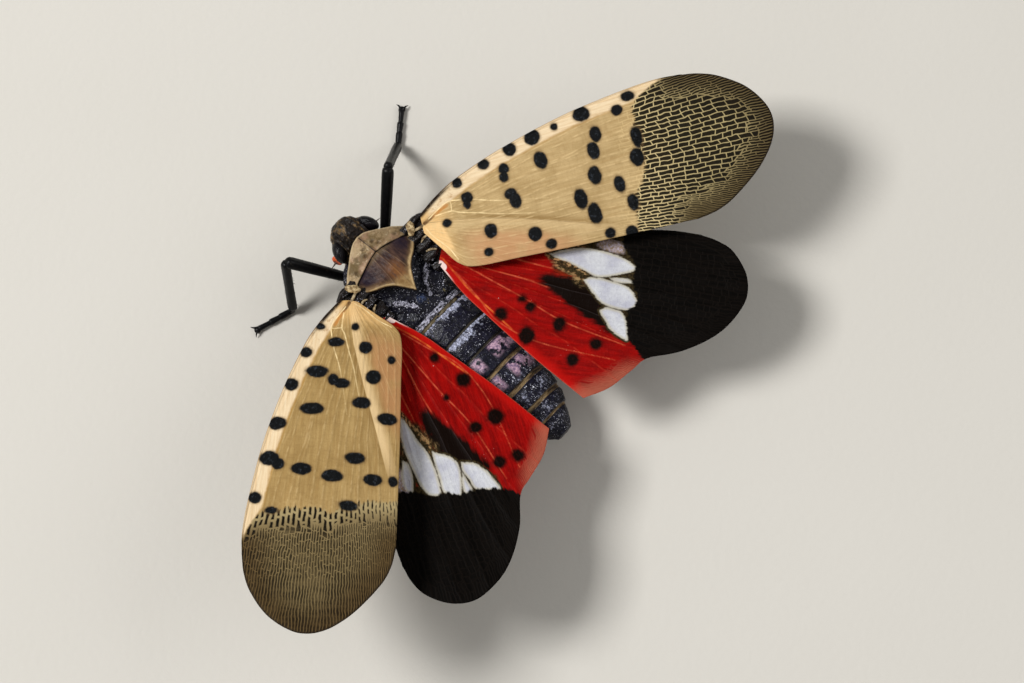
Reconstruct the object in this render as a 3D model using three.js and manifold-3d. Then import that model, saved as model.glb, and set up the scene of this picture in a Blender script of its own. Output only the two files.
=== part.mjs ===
// A spotted lanternfly at life size, standing on its six feet with all four wings spread.
// Millimetres, +Z up. The head points to -Y, the tail to +Y and the insect's left side is +X.
// While it is modelled, x = 0 is the midline, y = 0 the front corner of the mesonotum and z = 0
// the ground. At the end the group moves so that its origin is the centre of its footprint.
import * as THREE from "three";
import { mergeVertices } from "three/addons/utils/BufferGeometryUtils.js";
import Module from "manifold-3d";

const wasm = await Module();
wasm.setup();

// Driving dimensions
const GAP = 0.3;                  // clear space between neighbouring parts
const MEMBRANE = 0.5;             // thickness of a wing
const VEIN_HEIGHT = 0.2;          // how far a main vein stands out of the membrane
const VEIN_WIDTH = 0.42;          // width of a main vein at its foot
const PLATE = 0.6;                // thickness of the plates on the back
const BODY_SIDES = 20;            // facets round the trunk
const LIMB_SIDES = 8;             // facets round a leg
const TARSUS_RADIUS = 0.27;
const FLAT_SIDE = Math.cos(Math.PI / LIMB_SIDES);   // height of an octagon's flat over its radius

// Wing placing: the hinge point, the angle from the tail, the rise of the tip and the droop of
// the rear edge. The left forewing is raised further than the right one, as in the pose.
const FOREWING_POSE = {
  left: { hinge: [3.2, 1.0, 6.1], spread: 51.5, rise: 16.6, droop: 0 },
  right: { hinge: [-3.2, 1.0, 6.1], spread: 57, rise: 4.5, droop: 0 },
};
const HINDWING_POSE = {
  left: { hinge: [2.85, 2.9, 5.3], spread: 29.5, rise: 9, droop: 3 },
  right: { hinge: [-2.85, 2.9, 5.3], spread: 34.5, rise: 2, droop: 0 },
};

// Wing outlines in the wing's own plane: distance out from the hinge, then distance rearwards
const FOREWING_OUTLINE = {
  leading: [[0.0, -0.9], [1.3, -1.8], [3.0, -2.65], [6.0, -3.65], [10.0, -4.6], [14.0, -5.15],
    [17.6, -5.25]],
  margin: [[17.6, -5.25], [20.0, -4.55], [21.8, -3.1], [22.65, -1.3], [22.3, 0.2], [21.0, 1.85],
    [19.0, 3.25], [16.6, 3.98]],
  rear: [[-0.05, 0.3], [0.8, 1.6], [1.6, 2.75], [2.7, 3.22], [5.5, 3.4], [10.0, 3.68], [16.6, 3.98]],
};
const HINDWING_OUTLINE = {
  leading: [[-0.1, -0.4], [2.5, -1.05], [5.0, -1.8], [8.0, -2.5], [12.0, -3.2], [15.6, -3.45]],
  margin: [[15.6, -3.45], [17.9, -2.7], [19.1, -0.9], [18.9, 0.9], [17.5, 2.85], [15.4, 4.2], [13.5, 4.9],
    [12.5, 5.95], [11.3, 7.0], [9.9, 7.8]],
  rear: [[-0.15, 0.6], [1.6, 2.2], [3.3, 3.45], [6.4, 5.6], [9.9, 7.8]],
};

// Main veins: where each one lies across the wing at the root and at the tip, from 0 at the
// leading edge to 1 at the rear, and how far out it leaves its neighbour
const FOREWING_VEINS = [
  { root: 0.08, tip: 0.04, fork: 0 },
  { root: 0.24, tip: 0.17, fork: 0.06 },
  { root: 0.32, tip: 0.29, fork: 0.12 },
  { root: 0.45, tip: 0.41, fork: 0.06 },
  { root: 0.52, tip: 0.53, fork: 0.2 },
  { root: 0.6, tip: 0.65, fork: 0.12 },
  { root: 0.67, tip: 0.78, fork: 0.2 },
  { root: 0.78, tip: 0.92, fork: 0 },
  { root: 0.88, tip: 0.97, fork: 0 },
];
const HINDWING_VEINS = [
  { root: 0.08, tip: 0.05, fork: 0 },
  { root: 0.2, tip: 0.16, fork: 0.05 },
  { root: 0.27, tip: 0.27, fork: 0.15 },
  { root: 0.37, tip: 0.38, fork: 0.05 },
  { root: 0.46, tip: 0.5, fork: 0 },
  { root: 0.57, tip: 0.61, fork: 0 },
  { root: 0.68, tip: 0.73, fork: 0 },
  { root: 0.8, tip: 0.86, fork: 0 },
];

// Trunk sections: [y, half width, top, bottom]
const THORAX_SECTIONS = [
  [-1.2, 1.7, 4.95, 2.75], [-0.6, 2.15, 5.35, 2.4], [0.4, 2.5, 5.75, 2.15], [1.4, 2.65, 5.9, 2.0],
  [2.4, 2.75, 5.55, 1.9], [3.4, 2.7, 5.2, 1.8], [4.3, 2.6, 5.1, 1.6], [5.12, 2.5, 5.0, 1.5],
];
const ABDOMEN_SECTIONS = [
  [5.27, 2.5, 5.0, 1.45], [8.0, 2.65, 5.15, 1.2], [11.0, 2.55, 5.0, 1.25], [13.6, 2.05, 4.65, 1.6],
  [14.6, 1.55, 4.3, 1.95], [15.3, 1.0, 3.95, 2.3], [15.9, 0.5, 3.55, 2.55],
];
const ABDOMEN_JOINTS = [5.27, 7.1, 8.74, 10.37, 12.1, 13.6, 14.6, 15.75];
const HEAD_SECTIONS = [
  [-1.5, 1.0, 4.8, 3.2], [-1.9, 1.15, 5.05, 2.8], [-2.35, 1.18, 5.5, 2.6], [-2.8, 1.1, 5.55, 2.75],
  [-3.2, 0.85, 5.3, 3.3], [-3.45, 0.45, 4.95, 4.0],
];

// Margins of the two plates on the back, left half: [x, y]
const PRONOTUM_FRONT = [[2.72, -0.2], [1.95, -0.85], [1.2, -1.35], [0.55, -1.66], [0, -1.74]];
const PRONOTUM_REAR = [[2.35, 0.42], [1.75, 0.18], [1.15, 0.0], [0.55, -0.17], [0, -0.27]];
const MESONOTUM_FRONT = [[2.2, 0.78], [1.7, 0.52], [1.15, 0.34], [0.55, 0.17], [0, 0.05]];
const MESONOTUM_REAR = [[2.1, 1.1], [1.6, 1.42], [0.95, 1.95], [0.4, 2.65], [0, 3.38]];

// Legs, left side: where each joint lies. Radii of femur and tibia follow.
const LEGS = {
  fore: { root: [0.9, -0.5, 1.75], hip: [1.7, -1.08, 1.95], femur: 0.36, tibia: 0.29 },
  mid: { root: [0.95, 1.3, 1.42], hip: [1.8, 1.55, 1.5], femur: 0.36, tibia: 0.28 },
  hind: { root: [0.95, 3.55, 1.12], hip: [1.8, 4.0, 1.3], femur: 0.38, tibia: 0.3 },
};
const STANCE = {
  left: {
    fore: { knee: [3.95, -4.15, 4.55], ankle: [5.3, -2.5, 0.55], toe: [7.75, -3.3] },
    mid: { knee: [5.2, 2.9, 4.2], ankle: [7.7, 4.4, 0.55], toe: [9.9, 5.5] },
    hind: { knee: [4.9, 7.4, 3.9], ankle: [9.3, 11.9, 0.55], toe: [11.0, 13.7] },
  },
  right: {
    fore: { knee: [-4.75, -3.5, 5.0], ankle: [-6.95, -4.85, 0.55], toe: [-8.95, -6.35] },
    mid: { knee: [-5.1, 3.1, 4.2], ankle: [-7.5, 4.9, 0.55], toe: [-9.6, 6.2] },
    hind: { knee: [-4.8, 7.6, 3.9], ankle: [-8.8, 12.2, 0.55], toe: [-10.4, 14.1] },
  },
};

// Spines of the hind tibia: shares of its length for the row on the outer edge, a crown at its end
const SPINE_ROW = [0.24, 0.4, 0.56, 0.71, 0.85];
const SPINE_CROWN = 5;
const SPINE = { length: 0.95, radius: 0.18, lean: 0.75, vary: 0.2 };

const SIDES = { left: 1, right: -1 };

function finish(color, roughness) {
  return new THREE.MeshStandardMaterial({ color, roughness, metalness: 0 });
}

const FINISH = {
  forewing: finish(0xc8a878, 0.55),
  hindwing: finish(0xc42a1e, 0.6),
  pronotum: finish(0xa89070, 0.5),
  mesonotum: finish(0x5a4440, 0.5),
  tegula: finish(0xc9b48c, 0.5),
  thorax: finish(0x2b2a30, 0.7),
  abdomen: finish(0x3a3a42, 0.75),
  head: finish(0x3a3029, 0.5),
  eye: finish(0x0b0b0d, 0.15),
  antenna: finish(0xc84a1c, 0.45),
  leg: finish(0x131316, 0.4),
};

// Shape helpers

// Positions and triangles only, with shared vertices merged and collapsed triangles dropped
function closedBody(geometry) {
  const bare = new THREE.BufferGeometry();
  bare.setAttribute("position", geometry.getAttribute("position").clone());
  bare.setIndex(geometry.getIndex());
  const merged = mergeVertices(bare, 1e-4);
  const index = Array.from(merged.getIndex().array);
  const kept = [];
  for (let i = 0; i < index.length; i += 3) {
    const [a, b, c] = index.slice(i, i + 3);
    if (a !== b && b !== c && a !== c) kept.push(a, b, c);
  }
  merged.setIndex(kept);
  return facingOut(merged);
}

// Turns the triangles round where the signed volume says that they face inwards
function facingOut(geometry) {
  const position = geometry.getAttribute("position");
  const index = Array.from(geometry.getIndex().array);
  const corner = [0, 1, 2].map(() => new THREE.Vector3());
  let volume = 0;
  for (let i = 0; i < index.length; i += 3) {
    corner.forEach((point, k) => point.fromBufferAttribute(position, index[i + k]));
    volume += corner[0].dot(corner[1].cross(corner[2]));
  }
  if (volume < 0) index.reverse();
  geometry.setIndex(index);
  geometry.computeVertexNormals();
  return geometry;
}

function toSolid(geometry) {
  const body = closedBody(geometry);
  return new wasm.Manifold(new wasm.Mesh({
    numProp: 3,
    vertProperties: new Float32Array(body.getAttribute("position").array),
    triVerts: new Uint32Array(body.getIndex().array),
  }));
}

// Back to a geometry, keeping only the largest closed surface
function toGeometry(solid) {
  const largest = solid.decompose().reduce((a, b) => (a.volume() > b.volume() ? a : b));
  const mesh = largest.getMesh();
  const geometry = new THREE.BufferGeometry();
  geometry.setAttribute("position", new THREE.Float32BufferAttribute(mesh.vertProperties, 3));
  geometry.setIndex(Array.from(mesh.triVerts));
  return geometry;
}

function union(geometries) {
  return toGeometry(geometries.map(toSolid).reduce((a, b) => a.add(b)));
}

function cut(geometry, tools) {
  return toGeometry(tools.map(toSolid).reduce((a, b) => a.subtract(b), toSolid(geometry)));
}

// A closed loft through rings of equal length, with a fan over each end
function loft(rings) {
  const sides = rings[0].length;
  const points = rings.flat();
  const index = [];
  for (let r = 0; r + 1 < rings.length; r += 1) {
    for (let k = 0; k < sides; k += 1) {
      const a = r * sides + k;
      const b = r * sides + (k + 1) % sides;
      index.push(a, b, b + sides, a, b + sides, a + sides);
    }
  }
  for (const [ring, flip] of [[0, true], [rings.length - 1, false]]) {
    const centre = new THREE.Vector3();
    rings[ring].forEach((point) => centre.addScaledVector(point, 1 / sides));
    points.push(centre);
    for (let k = 0; k < sides; k += 1) {
      const a = ring * sides + k;
      const b = ring * sides + (k + 1) % sides;
      index.push(...(flip ? [b, a, points.length - 1] : [a, b, points.length - 1]));
    }
  }
  const geometry = new THREE.BufferGeometry().setFromPoints(points);
  geometry.setIndex(index);
  return closedBody(geometry);
}

// A closed sheet from a grid: top(i, j) and bottom(i, j) give its two faces, split alike
function sheet(rows, columns, top, bottom) {
  const points = [];
  for (const face of [top, bottom]) {
    for (let i = 0; i <= rows; i += 1) {
      for (let j = 0; j <= columns; j += 1) points.push(face(i, j));
    }
  }
  const width = columns + 1;
  const under = (rows + 1) * width;
  const index = [];
  for (let i = 0; i < rows; i += 1) {
    for (let j = 0; j < columns; j += 1) {
      const a = i * width + j;
      const [b, c, d] = [a + 1, a + width, a + width + 1];
      index.push(a, b, d, a, d, c, under + a, under + d, under + b, under + a, under + c, under + d);
    }
  }
  const wall = (a, b) => index.push(a, under + b, b, a, under + a, under + b);
  for (let j = 0; j < columns; j += 1) {
    wall(j, j + 1);
    wall(rows * width + j + 1, rows * width + j);
  }
  for (let i = 0; i < rows; i += 1) {
    wall((i + 1) * width, i * width);
    wall(i * width + columns, (i + 1) * width + columns);
  }
  const geometry = new THREE.BufferGeometry().setFromPoints(points);
  geometry.setIndex(index);
  return closedBody(geometry);
}

function sectionAt(sections, y) {
  const last = sections.length - 1;
  let k = 0;
  while (k < last - 1 && y > sections[k + 1][0]) k += 1;
  const share = THREE.MathUtils.clamp((y - sections[k][0]) / (sections[k + 1][0] - sections[k][0]), 0, 1);
  return sections[k].map((value, n) => THREE.MathUtils.lerp(value, sections[k + 1][n], share));
}

function ovalRing(y, half, top, bottom) {
  const middle = (top + bottom) / 2;
  return Array.from({ length: BODY_SIDES }, (_, k) => {
    const angle = (2 * Math.PI * k) / BODY_SIDES;
    return new THREE.Vector3(half * Math.cos(angle), y, middle + (top - middle) * Math.sin(angle));
  });
}

// An oval ring of the trunk at y, grown or shrunk about its own middle
function trunkRing(sections, y, scale) {
  const [, half, top, bottom] = sectionAt(sections, y);
  const middle = (top + bottom) / 2;
  const tall = (top - middle) * scale;
  return ovalRing(y, half * scale, middle + tall, middle - tall);
}

function ellipsoid(centre, radii, turns = 12, steps = 8) {
  const geometry = new THREE.SphereGeometry(1, turns, steps);
  geometry.scale(...radii);
  geometry.translate(...centre);
  return geometry;
}

// A straight limb from one point to another: profile lists [distance, radius] along it
function limb(from, to, profile, sides = LIMB_SIDES) {
  const start = new THREE.Vector3(...from);
  const direction = new THREE.Vector3(...to).sub(start).normalize();
  const outline = profile.map(([distance, radius]) => new THREE.Vector2(radius, distance));
  const geometry = new THREE.LatheGeometry(outline, sides);
  geometry.applyQuaternion(new THREE.Quaternion().setFromUnitVectors(new THREE.Vector3(0, 1, 0), direction));
  geometry.translate(...from);
  return geometry;
}

function span(from, to) {
  return new THREE.Vector3(...from).distanceTo(new THREE.Vector3(...to));
}

// Repeatable draws between 0 and 1
function draws(seed) {
  let state = seed;
  return () => {
    state = (state * 1664525 + 1013904223) % 4294967296;
    return state / 4294967296;
  };
}

function onSide(side, [x, y, z]) {
  return [SIDES[side] * x, y, z];
}

const group = new THREE.Group();

function addNode(name, geometry, material) {
  const mesh = new THREE.Mesh(closedBody(geometry), material);
  mesh.name = name;
  group.add(mesh);
  return mesh;
}

// Wings

// A four-sided patch: along runs from the root to the outer margin, across from the leading
// edge to the rear edge
function wingPatch(outline) {
  const curve = (points) => new THREE.SplineCurve(points.map(([x, y]) => new THREE.Vector2(x, y)));
  const [leading, margin, rear] = [outline.leading, outline.margin, outline.rear].map(curve);
  const corners = [leading.getPointAt(0), rear.getPointAt(0), leading.getPointAt(1), rear.getPointAt(1)];
  return (along, across) => {
    const edges = leading.getPointAt(along).multiplyScalar(1 - across)
      .addScaledVector(rear.getPointAt(along), across)
      .addScaledVector(corners[0].clone().lerp(corners[1], across), 1 - along)
      .addScaledVector(margin.getPointAt(across), along);
    const near = corners[0].clone().lerp(corners[1], across);
    const far = corners[2].clone().lerp(corners[3], across);
    return edges.sub(near.lerp(far, along));
  };
}

function veinPlace(vein, along) {
  const opened = Math.max(0, (along - vein.fork) / (1 - vein.fork));
  return THREE.MathUtils.lerp(vein.root, vein.tip, opened);
}

// Where each grid line lies across the wing: both edges, and the foot, crest and foot of each vein
function gridAcross(patch, veins, along) {
  const width = patch(along, 0).distanceTo(patch(along, 1));
  const crests = veins.map((vein) => veinPlace(vein, along));
  const fence = [0, ...crests, 1];
  const lines = [{ across: 0, raised: 0 }];
  crests.forEach((crest, k) => {
    const room = 0.4 * Math.min(crest - fence[k], fence[k + 2] - crest);
    const foot = Math.min(VEIN_WIDTH / 2 / width, room);
    const fold = [[crest - foot, 0], [crest, 1], [crest + foot, 0]];
    lines.push(...fold.map(([across, raised]) => ({ across, raised })));
  });
  lines.push({ across: 1, raised: 0 });
  return lines;
}

// A membrane with its veins raised in its upper face, in the wing's own frame
function wingGeometry(side, outline, veins, rows, camber) {
  const patch = wingPatch(outline);
  const stations = Array.from({ length: rows + 1 }, (_, i) => (i / rows) ** 1.15);
  const grid = stations.map((along) => gridAcross(patch, veins, along));
  const point = (i, j, lift) => {
    const { across } = grid[i][j];
    const flat = patch(stations[i], across);
    const swell = Math.sin(Math.PI * (0.15 + 0.75 * stations[i]));
    const arch = camber * Math.sin(Math.PI * across) * swell;
    return new THREE.Vector3(flat.x, SIDES[side] * flat.y, arch + lift);
  };
  const vein = (i, j) => VEIN_HEIGHT * grid[i][j].raised * THREE.MathUtils.smoothstep(stations[i], 0, 0.08);
  const columns = grid[0].length - 1;
  return sheet(rows, columns,
    (i, j) => point(i, j, MEMBRANE / 2 + vein(i, j)),
    (i, j) => point(i, j, -MEMBRANE / 2));
}

function addWing(name, side, pose, geometry, material) {
  const { hinge, spread, rise, droop } = pose[side];
  const radians = THREE.MathUtils.degToRad;
  const mesh = addNode(`${name}_${side}`, geometry, material);
  mesh.position.set(...hinge);
  const turn = [-SIDES[side] * radians(droop), -radians(rise), radians(90 - SIDES[side] * spread)];
  mesh.rotation.set(...turn, "ZYX");
}

for (const side of ["left", "right"]) {
  addWing("forewing", side, FOREWING_POSE, wingGeometry(side, FOREWING_OUTLINE, FOREWING_VEINS, 14, 0.35),
    FINISH.forewing);
  addWing("hindwing", side, HINDWING_POSE, wingGeometry(side, HINDWING_OUTLINE, HINDWING_VEINS, 12, 0.15),
    FINISH.hindwing);
}

// Thorax, with a stub that carries each wing
const FORE_STUB = { from: [2.0, 0.95, 4.0], to: [2.78, 0.57, 5.9], radius: 0.24 };
const HIND_STUB = { from: [1.9, 2.5, 3.9], to: [2.42, 2.3, 5.15], radius: 0.26 };

function stub(side, { from, to, radius }) {
  const length = span(from, to);
  const profile = [[0, 0], [0, 0.5], [length - radius, radius], [length - 0.08, radius * 0.8], [length, 0]];
  return limb(onSide(side, from), onSide(side, to), profile);
}

const trunk = loft(THORAX_SECTIONS.map(([y, half, top, bottom]) => ovalRing(y, half, top, bottom)));
const stubs = ["left", "right"].flatMap((side) => [stub(side, FORE_STUB), stub(side, HIND_STUB)]);
addNode("thorax", union([trunk, ...stubs]), FINISH.thorax);

// Plates on the back: the pronotum behind the head and the mesonotum between the wings
const BACK_LINE = [[-1.75, 6.0], [-0.1, 6.72], [1.5, 6.88], [3.4, 6.35]];
const BACK_FALL = 1.15;           // how far the back falls at 2.5 mm from the midline
const CREST = 0.1;                // height of the ridge along the pronotum's midline

function backHeight(x, y) {
  const [, height] = sectionAt(BACK_LINE, y);
  return height - BACK_FALL * (x / 2.5) ** 2;
}

function mirrored(half) {
  const other = half.slice(0, -1).reverse().map(([x, y]) => [-x, y]);
  const curve = [...half, ...other].map(([x, y]) => new THREE.Vector2(x, y));
  return (share) => {
    const k = Math.min(Math.floor(share * (curve.length - 1)), curve.length - 2);
    return curve[k].clone().lerp(curve[k + 1], share * (curve.length - 1) - k);
  };
}

function backPlate(front, rear, rows, columns, crest) {
  const [before, behind] = [mirrored(front), mirrored(rear)];
  const flat = (i, j) => before(j / columns).lerp(behind(j / columns), i / rows);
  const face = (i, j, drop) => {
    const { x, y } = flat(i, j);
    const ridge = drop === 0 && j === columns / 2 ? crest : 0;
    return new THREE.Vector3(x, y, backHeight(x, y) - drop + ridge);
  };
  return sheet(rows, columns, (i, j) => face(i, j, 0), (i, j) => face(i, j, PLATE));
}

addNode("pronotum", backPlate(PRONOTUM_FRONT, PRONOTUM_REAR, 4, 16, CREST), FINISH.pronotum);
addNode("mesonotum", backPlate(MESONOTUM_FRONT, MESONOTUM_REAR, 5, 16, 0), FINISH.mesonotum);

for (const side of ["left", "right"]) {
  const geometry = ellipsoid([0, 0, 0], [0.5, 0.3, 0.2], 10, 6);
  const mesh = addNode(`tegula_${side}`, geometry, FINISH.tegula);
  mesh.position.set(...onSide(side, [2.72, 0.52, 6.48]));
  mesh.rotation.z = -SIDES[side] * 0.95;
}

// Head, with a socket for each eye, and the feelers and beak below it
const EYE = { centre: [1.33, -2.02, 4.9], radii: [0.43, 0.62, 0.52] };
const sockets = ["left", "right"].map((side) =>
  ellipsoid(onSide(side, EYE.centre), EYE.radii.map((radius) => radius + GAP)));
const skull = loft(HEAD_SECTIONS.map(([y, half, top, bottom]) => ovalRing(y, half, top, bottom)));
addNode("head", cut(skull, sockets), FINISH.head);

for (const side of ["left", "right"]) {
  addNode(`eye_${side}`, ellipsoid(onSide(side, EYE.centre), EYE.radii), FINISH.eye);
  const feeler = [[0, 0], [0, 0.16], [0.12, 0.2], [0.2, 0.27], [0.38, 0.31], [0.56, 0.26], [0.66, 0.14],
    [1.0, 0.09], [1.4, 0.03], [1.42, 0]];
  addNode(`antenna_${side}`, limb(onSide(side, [1.38, -1.95, 3.6]), onSide(side, [2.3, -1.75, 3.8]), feeler),
    FINISH.antenna);
}

const beak = { from: [0, -2.45, 2.0], to: [0, 3.0, 1.15] };
const beakLength = span(beak.from, beak.to);
addNode("rostrum", limb(beak.from, beak.to, [[0, 0], [0, 0.22], [0.6, 0.28], [2.2, 0.26], [4.2, 0.24],
  [beakLength - 0.3, 0.2], [beakLength, 0]]), FINISH.leg);

// Abdomen: each ring flares towards its rear edge and steps in at the next joint
for (let k = 0; k + 1 < ABDOMEN_JOINTS.length; k += 1) {
  const from = ABDOMEN_JOINTS[k] + GAP / 2;
  const to = ABDOMEN_JOINTS[k + 1] - GAP / 2;
  const steps = [[0, 0.95], [0.2, 0.985], [0.8, 1.03], [1, 1.01]];
  const rings = steps.map(([share, scale]) =>
    trunkRing(ABDOMEN_SECTIONS, THREE.MathUtils.lerp(from, to, share), scale));
  addNode(`abdomen_${k + 1}`, loft(rings), FINISH.abdomen);
}

// Legs: coxa, femur, tibia and tarsus, each ending in a rounded head that the next one starts from
function roundedLimb(from, to, startRadius, endRadius, lead) {
  const length = span(from, to);
  const belly = Math.max(startRadius, endRadius) * 1.06;
  return limb(from, to, [
    [lead, 0], [lead, startRadius * 0.75], [lead + 0.15, startRadius], [length * 0.45, belly],
    [length, endRadius], [length + endRadius * 0.7, endRadius * 0.7], [length + endRadius, 0],
  ]);
}

// A tapering spine that leaves the shaft at a point, leaning outwards and towards the foot
function spine(point, outward, along, length) {
  const direction = outward.clone().addScaledVector(along, SPINE.lean).normalize();
  const geometry = new THREE.ConeGeometry(SPINE.radius, length, 5);
  geometry.translate(0, length / 2, 0);
  geometry.applyQuaternion(new THREE.Quaternion().setFromUnitVectors(new THREE.Vector3(0, 1, 0), direction));
  geometry.translate(...point.toArray());
  return geometry;
}

// The hind tibia: its shaft with a row of spines on the outer edge and a crown round the ankle
function spinyTibia(side, shaft, knee, ankle) {
  const random = draws(side === "left" ? 11 : 23);
  const start = new THREE.Vector3(...knee);
  const end = new THREE.Vector3(...ankle);
  const along = end.clone().sub(start).normalize();
  const outward = new THREE.Vector3(0, 0, 1).cross(along).multiplyScalar(-SIDES[side]).normalize();
  const row = SPINE_ROW.map((share) => {
    const length = SPINE.length * (1 + SPINE.vary * (random() - 0.5));
    return spine(start.clone().lerp(end, share), outward, along, length);
  });
  const collar = end.clone().addScaledVector(along, -0.3);
  const crown = Array.from({ length: SPINE_CROWN }, (_, k) => {
    const turn = (2 * Math.PI * (k + SPINE.vary * random())) / SPINE_CROWN;
    return spine(collar, outward.clone().applyAxisAngle(along, turn), along, SPINE.length * 0.75);
  });
  return union([shaft, ...row, ...crown]);
}

function claw(heading, spreadAngle) {
  const geometry = new THREE.ConeGeometry(0.13, 0.5, 5);
  geometry.rotateZ(-Math.PI / 2 - 0.3);
  geometry.translate(heading + 0.12, 0, 0.22);
  geometry.rotateZ(spreadAngle);
  return geometry;
}

// A foot lying along +X with its flat sole on z = 0: the tube, the pad between the claws, the claws
function foot(length) {
  const r = TARSUS_RADIUS;
  const profile = [[0, 0], [0, r * 0.8], [0.12, r], [length - 0.15, r], [length, r * 0.7], [length, 0]];
  const outline = profile.map(([distance, radius]) => new THREE.Vector2(radius, distance));
  const tube = new THREE.LatheGeometry(outline, LIMB_SIDES, Math.PI / LIMB_SIDES);
  tube.rotateZ(-Math.PI / 2);
  tube.translate(0, 0, r * FLAT_SIDE);
  const pad = new THREE.CylinderGeometry(0.26, 0.34, 0.26, 10);
  pad.rotateX(Math.PI / 2);
  pad.translate(length - 0.05, 0, 0.13);
  return union([tube, pad, claw(length, 0.14), claw(length, -0.14)]);
}

for (const side of ["left", "right"]) {
  for (const [which, leg] of Object.entries(LEGS)) {
    const { knee, ankle, toe } = STANCE[side][which];
    const root = onSide(side, leg.root);
    const hip = onSide(side, leg.hip);
    const kneeRadius = leg.femur * 0.9;
    const ankleRadius = leg.tibia * 0.95;
    const name = (part) => `${which}leg_${part}_${side}`;
    addNode(name("coxa"), roundedLimb(root, hip, 0.4, leg.femur, 0), FINISH.leg);
    addNode(name("femur"), roundedLimb(hip, knee, leg.femur * 0.85, kneeRadius, leg.femur + GAP), FINISH.leg);
    const shaft = roundedLimb(knee, ankle, leg.tibia, ankleRadius, kneeRadius + GAP);
    addNode(name("tibia"), which === "hind" ? spinyTibia(side, shaft, knee, ankle) : shaft, FINISH.leg);
    const start = ankleRadius + GAP - 0.08;
    const ground = new THREE.Vector3(ankle[0], ankle[1], 0);
    const reach = new THREE.Vector3(...toe, 0).sub(ground);
    const mesh = addNode(name("tarsus"), foot(reach.length() - start), FINISH.leg);
    mesh.position.copy(ground).addScaledVector(reach.clone().normalize(), start);
    mesh.rotation.z = Math.atan2(reach.y, reach.x);
  }
}

// The origin moves to the centre of the footprint
group.updateMatrixWorld(true);
const middle = new THREE.Box3().setFromObject(group, true).getCenter(new THREE.Vector3());
group.position.set(-middle.x, -middle.y, 0);
group.updateMatrixWorld(true);

export default group;
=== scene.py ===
# %% [markdown]
# # A spotted lanternfly with its wings spread
#
# The solids of this life-size insect are already packed: where every part sits and how large it
# is are settled. This file gives them their looks. Each part gets a finer skin that lies in the
# same place, and each skin gets a finish that is worked out by shader nodes, with no picture
# files. The first step is to load the solids, because everything after it is placed by them.

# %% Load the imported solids
import math
from types import SimpleNamespace

import bmesh
import bpy
import numpy as np
from mathutils import Matrix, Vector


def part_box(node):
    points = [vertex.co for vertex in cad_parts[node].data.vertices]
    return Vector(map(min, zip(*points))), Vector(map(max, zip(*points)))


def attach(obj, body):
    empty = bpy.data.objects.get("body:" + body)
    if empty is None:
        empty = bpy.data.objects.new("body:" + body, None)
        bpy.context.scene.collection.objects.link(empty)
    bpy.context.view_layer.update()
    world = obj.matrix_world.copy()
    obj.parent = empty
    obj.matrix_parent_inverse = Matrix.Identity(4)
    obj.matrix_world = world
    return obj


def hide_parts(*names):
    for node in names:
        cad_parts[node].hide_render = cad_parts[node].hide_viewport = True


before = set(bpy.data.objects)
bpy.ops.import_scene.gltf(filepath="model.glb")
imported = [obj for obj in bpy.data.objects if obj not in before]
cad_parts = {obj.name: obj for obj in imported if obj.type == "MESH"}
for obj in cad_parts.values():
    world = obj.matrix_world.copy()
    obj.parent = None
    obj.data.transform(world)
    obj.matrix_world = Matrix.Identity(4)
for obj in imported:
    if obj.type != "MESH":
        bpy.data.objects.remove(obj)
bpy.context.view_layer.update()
print("solids loaded:", len(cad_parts))

# %% [markdown]
# The insect is 44 mm wide, so millimetres are the natural unit to think in, and the natural
# place to measure from is the midline at the front corner of the big plate between the wings.
# The thorax tells where that is: its box is centred on the midline, and its rear end lies a
# known way behind the corner. One function turns such places into the frame's metres.

# %% Millimetres from the midline
MM = 0.001
SIDES = {"left": 1, "right": -1}
THORAX_REAR = 5.12

thorax_low, thorax_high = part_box("thorax")
ORIGIN = np.array([(thorax_low.x + thorax_high.x) / 2, thorax_high.y - THORAX_REAR * MM, 0])


def metres(points):
    """Places in millimetres from the midline and the ground, as places in the frame."""
    return ORIGIN + np.asarray(points, float) * MM


print("modelling origin:", np.round(ORIGIN, 5))

# %% [markdown]
# The camera comes first, so that every look at the work is from the photograph's own side. The
# picture was taken from high above, looking down 78 degrees. A point on the back is known in
# the picture and on the model, and so is the scale there, 16.2 pixels to the millimetre. With a
# 150 mm lens those three facts give the distance and the sideways offsets, with no guessing.

# %% Camera
PHOTO_WIDTH, PHOTO_HEIGHT = 1024, 683
AZIMUTH, ELEVATION = math.radians(132.5), math.radians(78)
LENS, SENSOR = 150, 36
PIXELS_PER_MM = 16.2
BACK_POINT = np.array([0, 0, 6.8])
BACK_PIXEL = (376.2, 252.0)

forward = np.array([-math.sin(AZIMUTH) * math.cos(ELEVATION),
                    math.cos(AZIMUTH) * math.cos(ELEVATION), -math.sin(ELEVATION)])
rightward = np.cross(forward, [0, 0, 1])
rightward /= np.linalg.norm(rightward)
upward = np.cross(rightward, forward)
distance = LENS / SENSOR * PHOTO_WIDTH / PIXELS_PER_MM
across_view = (BACK_PIXEL[0] - PHOTO_WIDTH / 2) / PIXELS_PER_MM
down_view = (BACK_PIXEL[1] - PHOTO_HEIGHT / 2) / PIXELS_PER_MM

camera = bpy.data.objects.new("camera", bpy.data.cameras.new("camera"))
bpy.context.scene.collection.objects.link(camera)
camera.data.lens, camera.data.sensor_width = LENS, SENSOR
camera.data.clip_start, camera.data.clip_end = 0.01, 5
camera_turn = Matrix(np.stack([rightward, upward, -forward], 1).tolist()).to_4x4()
camera_place = metres(BACK_POINT - forward * distance - rightward * across_view + upward * down_view)
camera.matrix_world = Matrix.Translation(camera_place) @ camera_turn
bpy.context.scene.camera = camera
print("camera stands at", np.round(camera_place, 4))

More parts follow.
